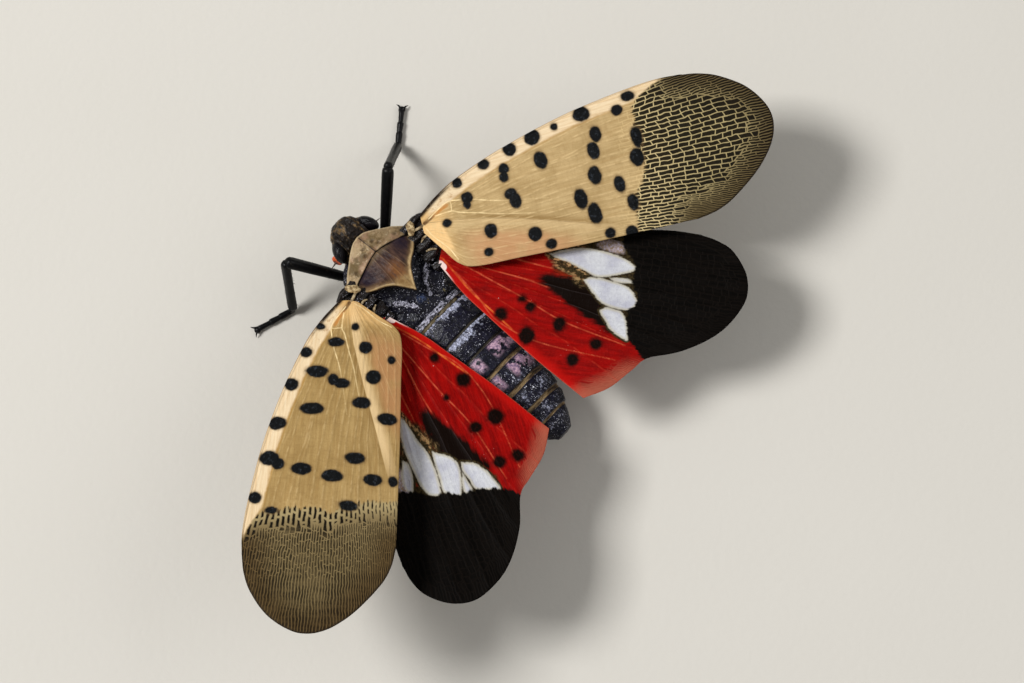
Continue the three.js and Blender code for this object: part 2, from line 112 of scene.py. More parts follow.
# %% [markdown]
# Every skin here is a grid of points, either open like a leaf or closed round like a sleeve, so
# a few small mesh helpers serve the whole insect. Numpy works out the points, and one function
# turns points and faces into a Blender mesh, sets its normals outwards, and hides the solids it
# stands for. Extra numbers can be stored on the points for the shaders to read later.

# %% Mesh helpers
def grid_faces(rows, columns, first=0, wrap=False):
    """Quads between points numbered row by row; wrap joins the last column to the first."""
    i, j = np.meshgrid(np.arange(rows - 1), np.arange(columns if wrap else columns - 1), indexing="ij")
    k = (j + 1) % columns
    quads = [i * columns + j, i * columns + k, (i + 1) * columns + k, (i + 1) * columns + j]
    return (np.stack(quads, -1).reshape(-1, 4) + first).tolist()


def sleeve(rings):
    """A closed skin through rings of points, each end drawn to its middle."""
    rows, sides, _ = rings.shape
    points = np.vstack([rings.reshape(-1, 3), rings[0].mean(0), rings[-1].mean(0)])
    faces = grid_faces(rows, sides, wrap=True)
    last = (rows - 1) * sides
    for k in range(sides):
        after = (k + 1) % sides
        faces += [[after, k, rows * sides], [last + k, last + after, rows * sides + 1]]
    return points, faces


def two_faced(top, bottom):
    """A closed leaf from two grids of points with the same rows and columns."""
    rows, columns, _ = top.shape
    count = rows * columns
    number = np.arange(count).reshape(rows, columns)
    border = np.concatenate([number[0, :-1], number[:-1, -1], number[-1, :0:-1], number[:0:-1, 0]])
    after = np.roll(border, -1)
    walls = np.stack([border, after, after + count, border + count], 1).tolist()
    faces = grid_faces(rows, columns) + grid_faces(rows, columns, first=count) + walls
    return np.vstack([top.reshape(-1, 3), bottom.reshape(-1, 3)]), faces


def together(shapes):
    """Several (points, faces) as one."""
    points, faces, first = [], [], 0
    for some_points, some_faces in shapes:
        points.append(some_points)
        faces += [[n + first for n in face] for face in some_faces]
        first += len(some_points)
    return np.vstack(points), faces


def face_outwards(mesh):
    """Turns the faces of each closed shell so that their normals point out of it."""
    shell = bmesh.new()
    shell.from_mesh(mesh)
    bmesh.ops.recalc_face_normals(shell, faces=shell.faces)
    shell.to_mesh(mesh)
    shell.free()


def add_piece(name, shape, material, replaces=(), fields=None, plan=None):
    """A mesh object that rides on the insect and stands for the named solids."""
    points, faces = shape
    mesh = bpy.data.meshes.new(name)
    mesh.from_pydata(metres(points).tolist(), [], faces)
    face_outwards(mesh)
    for field, values in (fields or {}).items():
        mesh.attributes.new(field, "FLOAT", "POINT").data.foreach_set("value", np.ravel(values))
    if plan is not None:
        corner = np.zeros(len(mesh.loops), int)
        mesh.loops.foreach_get("vertex_index", corner)
        mesh.uv_layers.new(name="Plan").data.foreach_set("uv", plan[corner].ravel())
    mesh.shade_smooth()
    mesh.materials.append(material)
    built = bpy.data.objects.new(name, mesh)
    bpy.context.scene.collection.objects.link(built)
    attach(built, "root")
    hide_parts(*replaces)


print("mesh helpers ready")

# %% [markdown]
# Living shapes are curves with small irregularities. Two more helpers give those: one runs a
# smooth curve through a few points and spaces new points evenly along it, and the other gives
# smooth random heights, the same ones on every run, that dent and swell a surface a little.

# %% Curves and small irregularities
def curve(points, count):
    """Evenly spaced points on a smooth curve through the given ones."""
    knots = np.asarray(points, float)
    padded = np.vstack([2 * knots[0] - knots[1], knots, 2 * knots[-1] - knots[-2]])
    travel = np.linspace(0, len(knots) - 1, 40 * len(knots))
    k = np.minimum(travel.astype(int), len(knots) - 2)
    t = (travel - k)[:, None]
    a, b, c, d = (padded[k + n] for n in range(4))
    fine = b + t * (c - a) / 2 + t ** 2 * (a - 2.5 * b + 2 * c - d / 2) + t ** 3 * (3 * (b - c) + d - a) / 2
    length = np.concatenate([[0], np.cumsum(np.linalg.norm(np.diff(fine, axis=0), axis=1))])
    even = np.linspace(0, length[-1], count)
    return np.stack([np.interp(even, length, fine[:, n]) for n in range(knots.shape[1])], 1)


def unevenness(places, size, seed=0):
    """Smooth random heights between -1 and 1, with swellings about as wide as size."""
    spot = np.asarray(places) / size + 7.31 * seed
    cell = np.floor(spot)
    part = (spot - cell) ** 2 * (3 - 2 * (spot - cell))
    total = 0
    for corner in np.ndindex(*(2,) * spot.shape[-1]):
        weight = np.prod(np.where(corner, part, 1 - part), axis=-1)
        draw = np.sin((cell + corner) @ np.array([12.9898, 78.233, 37.719][:spot.shape[-1]])) * 43758.5453
        total = total + weight * (draw - np.floor(draw))
    return 2 * total - 1


def ease(value, start, end):
    """0 before start, 1 after end, and smooth between them."""
    share = np.clip((np.asarray(value) - start) / (end - start), 0, 1)
    return share * share * (3 - 2 * share)


print("a sample of unevenness:", round(float(unevenness(np.array([[1.0, 2.0, 3.0]]), 0.7)[0]), 3))

# %% [markdown]
# A finish in Blender is a tree of shader nodes. Written one by one, nodes hide the idea in
# wiring, so a few small functions do the wiring. Each adds one node to the tree that is being
# built, which is always the last one on the bench, plugs the node's inputs and hands back a
# value. A sum or a product of values is written as such.
# Colours are written as they look on a screen, from 0 to 255, and turned into the linear
# values that shaders use.

# %% A hand for building node trees
bench = []


class Value:
    """What a node puts out. A sum or a product of values adds the node that works it out."""

    def __init__(self, socket):
        self.socket = socket

    def __add__(self, other):
        return calculate("ADD", self, other)

    def __sub__(self, other):
        return calculate("SUBTRACT", self, other)

    def __rsub__(self, other):
        return calculate("SUBTRACT", other, self)

    def __mul__(self, other):
        return calculate("MULTIPLY", self, other)

    def __truediv__(self, other):
        return calculate("DIVIDE", self, other)

    def __rtruediv__(self, other):
        return calculate("DIVIDE", other, self)

    def __abs__(self):
        return calculate("ABSOLUTE", self)


def plug(socket, value):
    """Links a value to a socket, or sets the socket to a number or a colour."""
    if isinstance(value, Value):
        bench[-1].links.new(value.socket, socket)
    else:
        socket.default_value = value


def node(kind, settings=None, out=0, numbered=None, **named):
    """Adds a node to the tree on the bench. Its inputs go by number or by name."""
    made = bench[-1].nodes.new(kind)
    for key, value in (settings or {}).items():
        setattr(made, key, value)
    for number, value in (numbered or {}).items():
        plug(made.inputs[number], value)
    for key, value in named.items():
        plug(made.inputs[key.replace("_", " ")], value)
    outputs = [Value(socket) for socket in made.outputs]
    return outputs if out is None else outputs[out]


def calculate(operation, *values):
    return node("ShaderNodeMath", {"operation": operation}, numbered=dict(enumerate(values)))


def most(one, other):
    return calculate("MAXIMUM", one, other)


def least(one, other):
    return calculate("MINIMUM", one, other)


def fade(value, start, end, low=0, high=1):
    """Runs smoothly from low to high while the value runs from start to end."""
    return node("ShaderNodeMapRange", {"interpolation_type": "SMOOTHSTEP"}, Value=value,
                From_Min=start, From_Max=end, To_Min=low, To_Max=high)


def linear(color):
    """A screen colour of three numbers as a shader takes it; anything else as it is."""
    if not (isinstance(color, tuple) and len(color) == 3):
        return color
    shares = np.array(color) / 255
    return (*np.where(shares <= 0.04045, shares / 12.92, ((shares + 0.055) / 1.055) ** 2.4).tolist(), 1)


def mix(amount, under, over):
    """Lays one colour over another where the amount says so."""
    colors = {0: amount, 6: linear(under), 7: linear(over)}
    return node("ShaderNodeMix", {"data_type": "RGBA"}, 2, colors)


def scaled(place, factors):
    return node("ShaderNodeVectorMath", {"operation": "MULTIPLY"}, numbered={0: place, 1: factors})


def noise(place, scale, detail=2, roughness=0.5):
    """Cloudy values round a half. A scale for each direction stretches the clouds."""
    if isinstance(scale, tuple):
        place, scale = scaled(place, scale), 1
    return node("ShaderNodeTexNoise", Vector=place, Scale=scale, Detail=detail, Roughness=roughness)


def voronoi(place, scale, feature="F1", **named):
    return node("ShaderNodeTexVoronoi", {"feature": feature}, Vector=place, Scale=scale, **named)


def random_step(number):
    return node("ShaderNodeTexWhiteNoise", {"noise_dimensions": "1D"}, W=number)


def flat(place):
    """The first two numbers of a place."""
    return node("ShaderNodeSeparateXYZ", out=None, Vector=place)[:2]


def field(name):
    return node("ShaderNodeAttribute", {"attribute_name": name}, out=2)


def effect(group, out=0, **named):
    return node("ShaderNodeGroup", {"node_tree": group}, out, **named)


print("cream in linear values:", np.round(linear((238, 216, 175)), 3))

# %% [markdown]
# ## The shape of the wings
#
# A wing is a flat leaf with three free sides: a leading edge, a round outer margin and a rear
# edge. It could be cut out of a plane, but then its faces would run straight across the veins.
# A patch stretched between the three curves is better, because its rows fan out from the root
# just as the veins do. The outlines are in the wing's own plane: millimetres out from the
# hinge, then millimetres towards the tail.

# %% Wing outlines and a patch between them
FOREWING_OUTLINE = {
    "leading": [(0, -0.9), (1.3, -1.8), (3, -2.65), (6, -3.65), (10, -4.6), (14, -5.15), (16.2, -5.3),
                (17.6, -5.2)],
    "margin": [(17.6, -5.2), (18.9, -4.95), (20.2, -4.4), (21.7, -3.2), (22.6, -1.5), (22.4, 0.1),
               (21.2, 1.7), (19.2, 3.2), (17.9, 3.78), (16.6, 3.98)],
    "rear": [(-0.05, 0.3), (0.8, 1.6), (1.6, 2.75), (2.7, 3.22), (5.5, 3.4), (10, 3.68), (16.6, 3.98)],
}
HINDWING_OUTLINE = {
    "leading": [(-0.1, -0.4), (2.5, -1.05), (5, -1.8), (8, -2.5), (12, -3.2), (14, -3.42), (15.6, -3.4)],
    "margin": [(15.6, -3.4), (16.8, -3.15), (17.9, -2.55), (18.9, -1.1), (18.95, 0.6), (17.7, 2.6),
               (15.6, 4.05), (13.5, 4.8), (12.6, 5.7), (11.4, 6.95), (9.9, 7.8)],
    "rear": [(-0.15, 0.6), (1.6, 2.2), (3.3, 3.45), (6.4, 5.6), (9.9, 7.8)],
}


def wing_patch(outline, rows, columns):
    """A grid of places in the wing's plane, rows from the root outwards, columns rearwards."""
    leading, rear = curve(outline["leading"], rows), curve(outline["rear"], rows)
    margin = curve(outline["margin"], columns)
    across = np.linspace(0, 1, columns)[:, None]
    chord = leading[-1] + across * (rear[-1] - leading[-1])
    along = np.linspace(0, 1, rows)[:, None, None]
    return (1 - across) * leading[:, None] + across * rear[:, None] + along * (margin - chord)


def sketch_distance(plan, points, samples=160):
    """How far each place lies from a smooth line through the points."""
    line = curve(points, samples)
    gap = plan[..., None, :] - line
    return np.sqrt((gap ** 2).sum(-1).min(-1))


def patch_depth(plan, points):
    """Distance to the edge of a smooth closed patch, negative inside it."""
    edge = curve(list(points) + [points[0]], 160)
    ahead = np.roll(edge, -1, axis=0)
    u, v = plan[..., 0, None], plan[..., 1, None]
    rises = (edge[:, 1] > v) != (ahead[:, 1] > v)
    slope = (ahead[:, 0] - edge[:, 0]) / np.where(ahead[:, 1] == edge[:, 1], 1, ahead[:, 1] - edge[:, 1])
    crossings = (rises & (u < edge[:, 0] + slope * (v - edge[:, 1]))).sum(-1)
    return sketch_distance(plan, list(points) + [points[0]]) * np.where(crossings % 2 == 1, -1, 1)


def spot_depth(plan, spots):
    """Distance to the nearest of some oval spots (u, v, half length, half width), negative inside."""
    nearest = np.full(plan.shape[:-1], 9.0)
    for u, v, half_length, half_width in spots:
        reach = np.hypot((plan[..., 0] - u) / half_length, (plan[..., 1] - v) / half_width)
        nearest = np.minimum(nearest, (reach - 1) * min(half_length, half_width))
    return nearest


sample = wing_patch(FOREWING_OUTLINE, 60, 30)
print("forewing length in mm:", round(float(np.linalg.norm(sample, axis=-1).max()), 2))

# %% [markdown]
# In the air a wing is stiffened by its veins: tubes that stand out of the thin membrane on both
# faces. Painted lines would look flat from the side, so here each main vein is a real ridge,
# a bell curve laid across the grid. Between the veins the membrane is gently corrugated, and
# the leading edge carries the thickest vein of all. The places of the veins are shares of the
# way from the leading edge to the rear edge, at the root and at the outer margin.

# %% Veins, folds and thickness of a wing
FOREWING_VEINS = [(0.08, 0.04, 0), (0.2, 0.13, 0.06), (0.24, 0.2, 0.12), (0.33, 0.27, 0.3),
                  (0.33, 0.34, 0.14), (0.42, 0.41, 0.06), (0.47, 0.47, 0.3), (0.52, 0.53, 0.2),
                  (0.56, 0.59, 0.4), (0.6, 0.65, 0.12), (0.64, 0.71, 0.34), (0.67, 0.78, 0.2),
                  (0.73, 0.85, 0.1), (0.81, 0.92, 0), (0.9, 0.97, 0)]
HINDWING_VEINS = [(0.08, 0.05, 0), (0.2, 0.16, 0.05), (0.27, 0.27, 0.15), (0.37, 0.38, 0.05),
                  (0.46, 0.5, 0), (0.57, 0.61, 0), (0.68, 0.73, 0), (0.8, 0.86, 0)]
MEMBRANE = 0.07
VEIN_REACH = 0.07
LEADING_VEIN = 0.11


def vein_distance(plan, veins):
    """Distance in mm from each place of the patch to its nearest main vein."""
    rows, columns, _ = plan.shape
    along = np.linspace(0, 1, rows)[:, None]
    across = np.linspace(0, 1, columns)[None]
    width = np.linalg.norm(plan[:, -1] - plan[:, 0], axis=-1)[:, None]
    swayed = across + 0.008 * unevenness(plan, 1.7, 30)
    nearest = np.full((rows, columns), 9.0)
    for root, tip, fork in veins:
        opened = np.clip((along - fork) / (1 - fork), 0, 1)
        nearest = np.minimum(nearest, np.abs(swayed - root - (tip - root) * opened) * width)
    return nearest


def wing_faces(plan, veins, camber, vein_height, fold, seed):
    """Upper and lower face of a wing, still in the wing's own frame."""
    rows, columns, _ = plan.shape
    along = np.linspace(0, 1, rows)[:, None]
    across = np.linspace(0, 1, columns)[None]
    arch = camber * np.sin(math.pi * across) * np.sin(math.pi * (0.15 + 0.75 * along))
    lane = across * len(veins) * 2
    waves = fold * np.cos(math.pi * lane) * ease(along, 0.02, 0.25) * np.sin(math.pi * across) ** 0.5
    ripple = 0.07 * unevenness(plan, 2.6, seed) + 0.02 * unevenness(plan, 0.9, seed + 1)
    middle = arch + waves + ripple * ease(along, 0, 0.2)
    ridge = vein_height * np.exp(-(vein_distance(plan, veins) / VEIN_REACH) ** 2) * ease(along, 0, 0.06)
    from_front = across * np.linalg.norm(plan[:, -1] - plan[:, 0], axis=-1)[:, None]
    edge = LEADING_VEIN * np.sqrt(np.clip(1 - ((from_front - LEADING_VEIN) / LEADING_VEIN) ** 2, 0.04, 1))
    rim = np.minimum(ease(across, 1, 0.985), ease(along, 1, 0.992))
    half = np.maximum((MEMBRANE / 2 + ridge) * (0.3 + 0.7 * rim), edge * (from_front < 2 * LEADING_VEIN))
    return tuple(np.dstack([plan, middle + sign * half]) for sign in (1, -1))


def place_wing(points, side, hinge, spread, rise, droop=0):
    """Turns a wing about its hinge: droop of the rear edge, rise of the tip, spread from the tail."""
    spread, rise, droop = math.radians(90 - SIDES[side] * spread), math.radians(rise), math.radians(droop)
    turn = (Matrix.Rotation(spread, 3, "Z") @ Matrix.Rotation(-rise, 3, "Y")
            @ Matrix.Rotation(-SIDES[side] * droop, 3, "X"))
    local = points * [1, SIDES[side], 1]
    return local @ np.array(turn).T + np.array(hinge) * [SIDES[side], 1, 1]


FOREWING_POSE = {"left": {"hinge": (3.2, 1.0, 6.1), "spread": 51.5, "rise": 16.6},
                 "right": {"hinge": (3.2, 1.0, 6.1), "spread": 57, "rise": 4.5}}
HINDWING_POSE = {"left": {"hinge": (2.85, 2.9, 5.3), "spread": 29.5, "rise": 9, "droop": 3},
                 "right": {"hinge": (2.85, 2.9, 5.3), "spread": 34.5, "rise": 2}}
print("veins in a forewing:", len(FOREWING_VEINS), "and in a hindwing:", len(HINDWING_VEINS))

# %% [markdown]
# ## What is drawn on the forewings
#
# The forewing is tan and leathery, with a cream band along the leading edge, about thirty black
# spots and a dark netted tip. The spots differ from wing to wing, as they do on the animal, so
# each wing has its own short list of ovals; two that overlap make a peanut shape. What a shader
# needs is not the spots themselves but how far each place is from them. These distances are
# stored on the points, and the shader turns them into crisp, slightly ragged edges.

# %% Forewing markings
FOREWING_SPOTS = {
    "right": [(4.6, -2.9, .38, .33), (6.4, -3.4, .42, .45), (7.95, -3.75, .5, .5), (9.43, -4.05, .2, .25),
              (11.25, -4.35, .55, .5), (14.35, -4.7, .45, .33), (13.45, -4, .37, .35),
              (5.75, -2.25, .37, .35), (5.65, -1.75, .3, .35), (8.1, -2.15, .42, .6),
              (11.8, -2.85, .38, .55), (11.4, -1.85, .38, .58), (3.1, -1.1, .38, .4), (3, -.7, .25, .3),
              (5.75, -.6, .42, .35), (5.95, -.1, .38, .5), (11.1, -.3, .42, .6), (13.9, -.7, .45, .6),
              (14.2, -2, .35, .7), (9.9, .9, .42, .65), (12.45, .65, .35, .55), (10.5, 2, .42, .7),
              (4, 1.35, .42, .47), (6.6, 2.25, .45, .45), (3.55, 2.6, .3, .27), (7.4, 3.1, .35, .32),
              (11.1, 3.4, .33, .33), (12.4, 3.7, .4, .4), (12.95, 1.95, .35, .55), (2.7, -2.2, .33, .33),
              (1.5, .15, .3, .25)],
    "left": [(1.9, -1.85, .25, .3), (3.75, -2.55, .38, .38), (6.05, -3.25, .42, .45),
             (8.8, -3.85, .45, .55), (11.2, -4.15, .5, .6), (11.6, -3.55, .4, .4), (13.9, -4.75, .4, .4),
             (3, -.8, .35, .5), (5.1, -1.8, .42, .7), (5.6, -.75, .4, .35), (5.85, -.2, .35, .5),
             (7.7, -1.85, .42, .75), (11.85, -2.15, .42, .62), (12.2, -.25, .42, .65),
             (3.25, 1.05, .42, .42), (5.25, 1.7, .48, .5), (3.9, 2.7, .3, .25), (7.1, 1.1, .4, .55),
             (8.05, 2.75, .42, .6), (10.9, 1.05, .4, .65), (12.25, 2.25, .4, .6), (12.2, 3.45, .35, .3),
             (14.1, .9, .35, .6), (14.7, -3.7, .25, .4), (1.85, .3, .28, .25)],
}
NET_START = {
    "right": [(-5.2, 15.5), (-4, 14.5), (-2, 14.1), (-0.5, 14.3), (0.6, 14.1), (1.6, 13.2), (3.9, 12.8)],
    "left": [(-5.2, 15.5), (-4, 14.7), (-2, 14.5), (-0.5, 14.5), (0, 14.8), (0.5, 14.2), (2, 13.7),
             (3.9, 13.5)],
}
CLAVAL_VEIN = {
    "right": [(0.3, -0.2), (2.2, 0.1), (4, 0.5), (6, 1.1), (8, 1.8), (10, 2.5), (12.2, 3.2), (14, 3.7)],
    "left": [(0.3, -0.2), (1.5, 0), (3, 0.3), (6, 1.2), (9, 2.2), (12.5, 3.3), (14, 3.7)],
}
ROOT_VEINS = [[(0.45, -0.42), (1.4, -0.98), (1.95, -1.18), (2.02, -0.9), (1.95, -0.52)],
              [(0.9, -0.5), (1.95, -0.52), (2.45, -0.3), (3.6, 0.05), (4.8, 0.45), (7, 1)],
              [(1.95, -1.18), (2.3, -1.15), (3.4, -0.9), (5.05, -0.35), (8, 0.3)],
              [(0.15, 0.1), (0.5, 0.75), (1.2, 1.65), (1.6, 2.5)]]
ROOT_STREAK = [(0.15, -0.22), (0.5, -0.4), (1.15, -0.72), (1.75, -0.98)]


def forewing_fields(plan, side):
    u, v = plan[..., 0], plan[..., 1]
    starts = np.array(NET_START[side])
    claval = np.array(CLAVAL_VEIN[side])
    return {
        "spots": spot_depth(plan, FOREWING_SPOTS[side]),
        "net": np.interp(v, starts[:, 0], starts[:, 1]) - u,
        "front": sketch_distance(plan, FOREWING_OUTLINE["leading"]),
        "tipward": sketch_distance(plan, FOREWING_OUTLINE["margin"]),
        "rearward": sketch_distance(plan, FOREWING_OUTLINE["rear"]),
        "claval": v - np.interp(u, claval[:, 0], claval[:, 1]),
        "rootveins": np.min([sketch_distance(plan, line) for line in ROOT_VEINS], axis=0),
        "streak": sketch_distance(plan, ROOT_STREAK),
        "vein": vein_distance(plan, FOREWING_VEINS),
    }


print("spots on the right and left forewing:", *[len(FOREWING_SPOTS[side]) for side in ("right", "left")])

# %% [markdown]
# The hindwing is scarlet at the root, with black spots, then a white band broken by the veins,
# a black blotch before it and a black tip behind it. The same trick serves: each patch is a
# short list of points on its edge, and what is stored is the distance to that edge.

# %% Hindwing markings
HINDWING_SPOTS = {
    "right": [(4.15, 3.25, .42, .42), (5.9, 4.4, .52, .58), (7.8, 3.4, .42, .55), (5.3, 2.1, .28, .28),
              (5.9, 2.55, .33, .33), (10.2, 4.35, .42, .38), (8.9, 5.5, .42, .42)],
    "left": [(3.35, 2.5, .35, .33), (5.25, 3.75, .5, .48), (6.1, 2.4, .22, .22), (8.55, 3.5, .42, .42),
             (8.2, 4.9, .55, .58), (11.1, 4.2, .42, .42), (11, 5.45, .42, .42)],
}
WHITE_LOBES = {
    "right": [
        [(6.6, -.95), (7.5, -1.3), (8.4, -1.55), (9.3, -1.6), (10.3, -1.45), (11.2, -1.25), (11.85, -.9),
         (12.1, -.7), (11.8, -.48), (11, -.18), (10.3, .04), (9.6, .12), (8.8, -.18), (8.2, -.4),
         (7.4, -.65), (6.8, -.8)],
        [(10.5, .14), (11, .02), (11.6, .02), (12.05, .2), (11.5, .3), (10.8, .26)],
        [(8.9, .45), (9.3, .24), (10, .2), (10.6, .3), (11.2, .38), (11.8, .6), (12.25, 1.1), (12.4, 1.45),
         (12.15, 1.85), (11.8, 2), (11.2, 1.98), (10.6, 1.88), (10.1, 1.68), (9.7, 1.3), (9.3, .9)],
        [(10.15, 2.2), (10.5, 2), (11, 2.04), (11.45, 2.12), (11.8, 2.5), (11.95, 2.9), (12.05, 3.3),
         (12.1, 3.85), (11.7, 3.75), (11.3, 3.55), (10.9, 3.25), (10.6, 2.85), (10.3, 2.5)]],
    "left": [
        [(9.2, -1.35), (10.1, -1.75), (11, -1.8), (11.35, -1.4), (10.5, -1.12), (9.6, -1.1)],
        [(6.4, -.65), (7.5, -1), (8.65, -1.1), (9.8, -1), (10.95, -.85), (11.75, -.55), (12, -.1),
         (11.95, .22), (10.7, .32), (9.8, .3), (9, .15), (8.2, -.15), (7.3, -.35)],
        [(9.2, .5), (10, .4), (10.95, .42), (11.85, .36), (12.3, .8), (12.45, 1.3), (12.1, 1.5),
         (11.2, 1.72), (10.4, 1.76), (9.8, 1.35), (9.45, .85)],
        [(11.1, 1.84), (11.65, 1.66), (12.35, 1.6), (12.5, 2), (12.2, 2.1), (11.7, 2)],
        [(10.4, 2), (10.95, 1.9), (11.65, 2.12), (12.3, 2.3), (12.6, 3), (12.8, 3.75), (11.85, 3.5),
         (11.2, 3.15), (10.7, 2.7)]],
}
GREY_PATCH = [(9.4, -1.8), (9.8, -2.3), (10.6, -2.3), (11.05, -2), (11.1, -1.6), (10.4, -1.55), (9.8, -1.7)]
BLOTCH = [(6.15, .7), (6.6, .45), (7.4, .45), (8.2, .55), (8.9, .6), (9.3, .9), (9.7, 1.3), (10.1, 1.7),
          (10.25, 2.3), (10.6, 2.8), (10.95, 3.25), (10.9, 3.45), (10.4, 3.2), (9.8, 2.9), (9.2, 2.6),
          (8.6, 2.3), (8.1, 2), (7.5, 1.6), (7, 1.3), (6.5, 1)]
LACE = [(6.9, -.6), (7.6, -.6), (8.4, -.4), (9.1, -.1), (9.5, .2), (9.3, .6), (8.4, .7), (7.6, .5), (7, .1)]
TIP_START = {
    "right": [(-3.6, 10.6), (-2.6, 10.9), (-1.8, 11.2), (-1.4, 11.6), (-.85, 12), (-.1, 11.9), (.5, 12),
              (1, 12.4), (1.6, 12.3), (2, 11.8), (2.7, 11.9), (3.4, 12), (3.8, 12.2), (4.2, 12.6),
              (4.9, 13.1), (5.2, 14.5)],
    "left": [(-3.6, 11.4), (-2.6, 11.3), (-2, 11.1), (-1.2, 11.4), (-.3, 12), (.6, 12), (1.3, 12.4),
             (2, 12.3), (3, 12.5), (4, 12.8), (4.7, 13.3), (5.2, 14.5)],
}
HINDWING_LINES = [
    [(4.5, -.35), (7.8, .05), (12, .25)],
    [(.5, .1), (2.5, .45), (5.5, .9), (8.5, 1.6), (10.6, 1.85), (12, 2)],
    [(1.5, .5), (3.5, 1.3), (5.5, 2.1), (8, 3.2), (12, 4.2)],
    [(1, 1), (2.5, 2.3), (4, 3.7), (6.8, 4.7), (11.5, 5.2)],
    [(1.2, -.3), (5, -1.2), (10, -2), (15, -2.3)],
]
LEFT_SHIFT = np.array([0.25, 0.1])


def hindwing_fields(plan, side):
    starts = np.array(TIP_START[side])
    drawn = plan - (LEFT_SHIFT if side == "left" else 0)
    return {
        "spots": spot_depth(plan, HINDWING_SPOTS[side]),
        "white": np.min([patch_depth(plan, lobe) for lobe in WHITE_LOBES[side]], axis=0),
        "grey": patch_depth(drawn, GREY_PATCH),
        "blotch": patch_depth(drawn, BLOTCH),
        "lace": patch_depth(drawn, LACE),
        "tip": np.interp(plan[..., 1], starts[:, 0], starts[:, 1]) - plan[..., 0],
        "lines": np.min([sketch_distance(drawn, line) for line in HINDWING_LINES], axis=0),
        "root": sketch_distance(plan, [(-0.05, 0.6), (0.15, 0.76)]),
        "rearward": sketch_distance(plan, HINDWING_OUTLINE["rear"]),
        "tipward": sketch_distance(plan, HINDWING_OUTLINE["margin"]),
        "vein": vein_distance(plan, HINDWING_VEINS),
    }


print("white lobes:", len(WHITE_LOBES["right"]), "lines drawn:", len(HINDWING_LINES))

# %% [markdown]
# ## Effects that several finishes share
#
# A wing's patches, a plate's blotches and the wax on the belly all need the same few tricks, so
# each trick is a node group, built once and placed in every finish with its own numbers. A
# helper makes the empty group with its named sockets, and another puts its results out. All
# groups take a place in millimetres, and all they hand back are numbers.

# %% Helpers for node groups
def new_effect(name, numbers):
    """An empty group on the bench, then its place and its numbers to read."""
    group = bpy.data.node_groups.new(name, "ShaderNodeTree")
    group.interface.new_socket(name="Place", in_out="INPUT", socket_type="NodeSocketVector")
    for number in numbers.split():
        group.interface.new_socket(name=number, in_out="INPUT", socket_type="NodeSocketFloat")
    bench.append(group)
    return group, *node("NodeGroupInput", out=None)[:-1]


def give(**results):
    """Puts out what the group on the bench has worked out."""
    for name in results:
        bench[-1].interface.new_socket(name=name, in_out="OUTPUT", socket_type="NodeSocketFloat")
    node("NodeGroupOutput", out=None, **results)
    print(bench[-1].name, "has", len(bench[-1].nodes), "nodes")


print("group helpers ready")

# %% [markdown]
# The first trick turns a stored distance into a mask with a natural edge. A sharp step would look
# cut with scissors. Noise is added to the distance before the step, so the edge wanders by a
# chosen amount, and the step itself is spread over a chosen softness, as where a stain runs out.

# %% Effect: ragged patch
ragged, place, depth, wander, grains, soft = new_effect("ragged patch", "Depth Wander Grain Soft")
wavering = (noise(place, grains, 3, 0.6) - 0.5) * wander + depth
give(Mask=fade(wavering, soft, soft * -1))


def patch(place, depth, wander, grains, soft):
    return effect(ragged, Place=place, Depth=depth, Wander=wander, Grain=grains, Soft=soft)

# %% [markdown]
# A line, such as a vein, is the same idea on both sides of a distance of zero. Real veins fade
# and return, so noise breaks the line a little along its way.

# %% Effect: fine line
fine_line, place, distance, width, breaks = new_effect("fine line", "Distance Width Breaks")
body = fade(abs(distance), width * 0.625, width * 0.275)
give(Mask=body * (1 - fade(noise(place, 2.2, 2), 0.62, 0.42) * breaks))


def line(place, distance, width, breaks=0.3):
    return effect(fine_line, Place=place, Distance=distance, Width=width, Breaks=breaks)

# %% [markdown]
# Cuticle is never smooth. Close up it is pebbled, with shallow dents and fine wrinkles. This
# group gives a height for a bump and a shading for the colour, both from the same noise: the
# low places are painted darker, as shade in the dents, and the high ones lighter.

# %% Effect: cuticle grain
grain, place, size, depth = new_effect("cuticle grain", "Size Depth")
pebbles = voronoi(place, 1 / size, "SMOOTH_F1", Smoothness=0.6)
height = noise(place, 0.35 / size, 4, 0.6) - pebbles * 0.55
give(Height=height * depth, Tone=fade(height, -0.1, 0.6))


def pebbled(place, size, depth):
    return effect(grain, Place=place, Size=size, Depth=depth)


# Painted shading of the grain: dark in the dents, lighter on the tops.
def pebble_shading(place, size):
    return effect(grain, 1, Place=place, Size=size)

# %% [markdown]
# Planthoppers shed a white wax powder. It lies as a broken film of small flakes and as single
# bright specks between them. Noises of falling size, each cut off at a level, give the flakes,
# two sizes of Voronoi dots give the specks, and one amount says how much wax there is at a
# place. Film and specks come out apart, because the specks are the whiter of the two.

# %% Effect: wax bloom
wax, place, amount, flake = new_effect("wax bloom", "Amount Flake")
per_mm = 1 / flake
flakes = noise(place, per_mm, 4, 0.8)
cover = flakes * 0.45 + noise(place, per_mm * 0.3, 3, 0.7) * 0.55 + amount * 0.36 - 0.2
film = fade(cover, 0.46, 0.6) * fade(flakes, 0.38, 0.56, 0.25)
specks = fade(noise(place, per_mm * 1.5, 3, 0.7), 0.64, 0.69, 0, 0.8)
for dot_size, share in ((0.7, 0.52), (1.4, 0.47)):
    scattered = fade(noise(place, per_mm * 0.42), share, share + 0.05)
    specks = most(specks, fade(voronoi(place, per_mm * dot_size), 0.24, 0.14) * scattered)
specks = specks * fade(amount, 0.02, 0.3)
give(Film=film, Specks=specks, Height=most(film, specks) * 0.02)

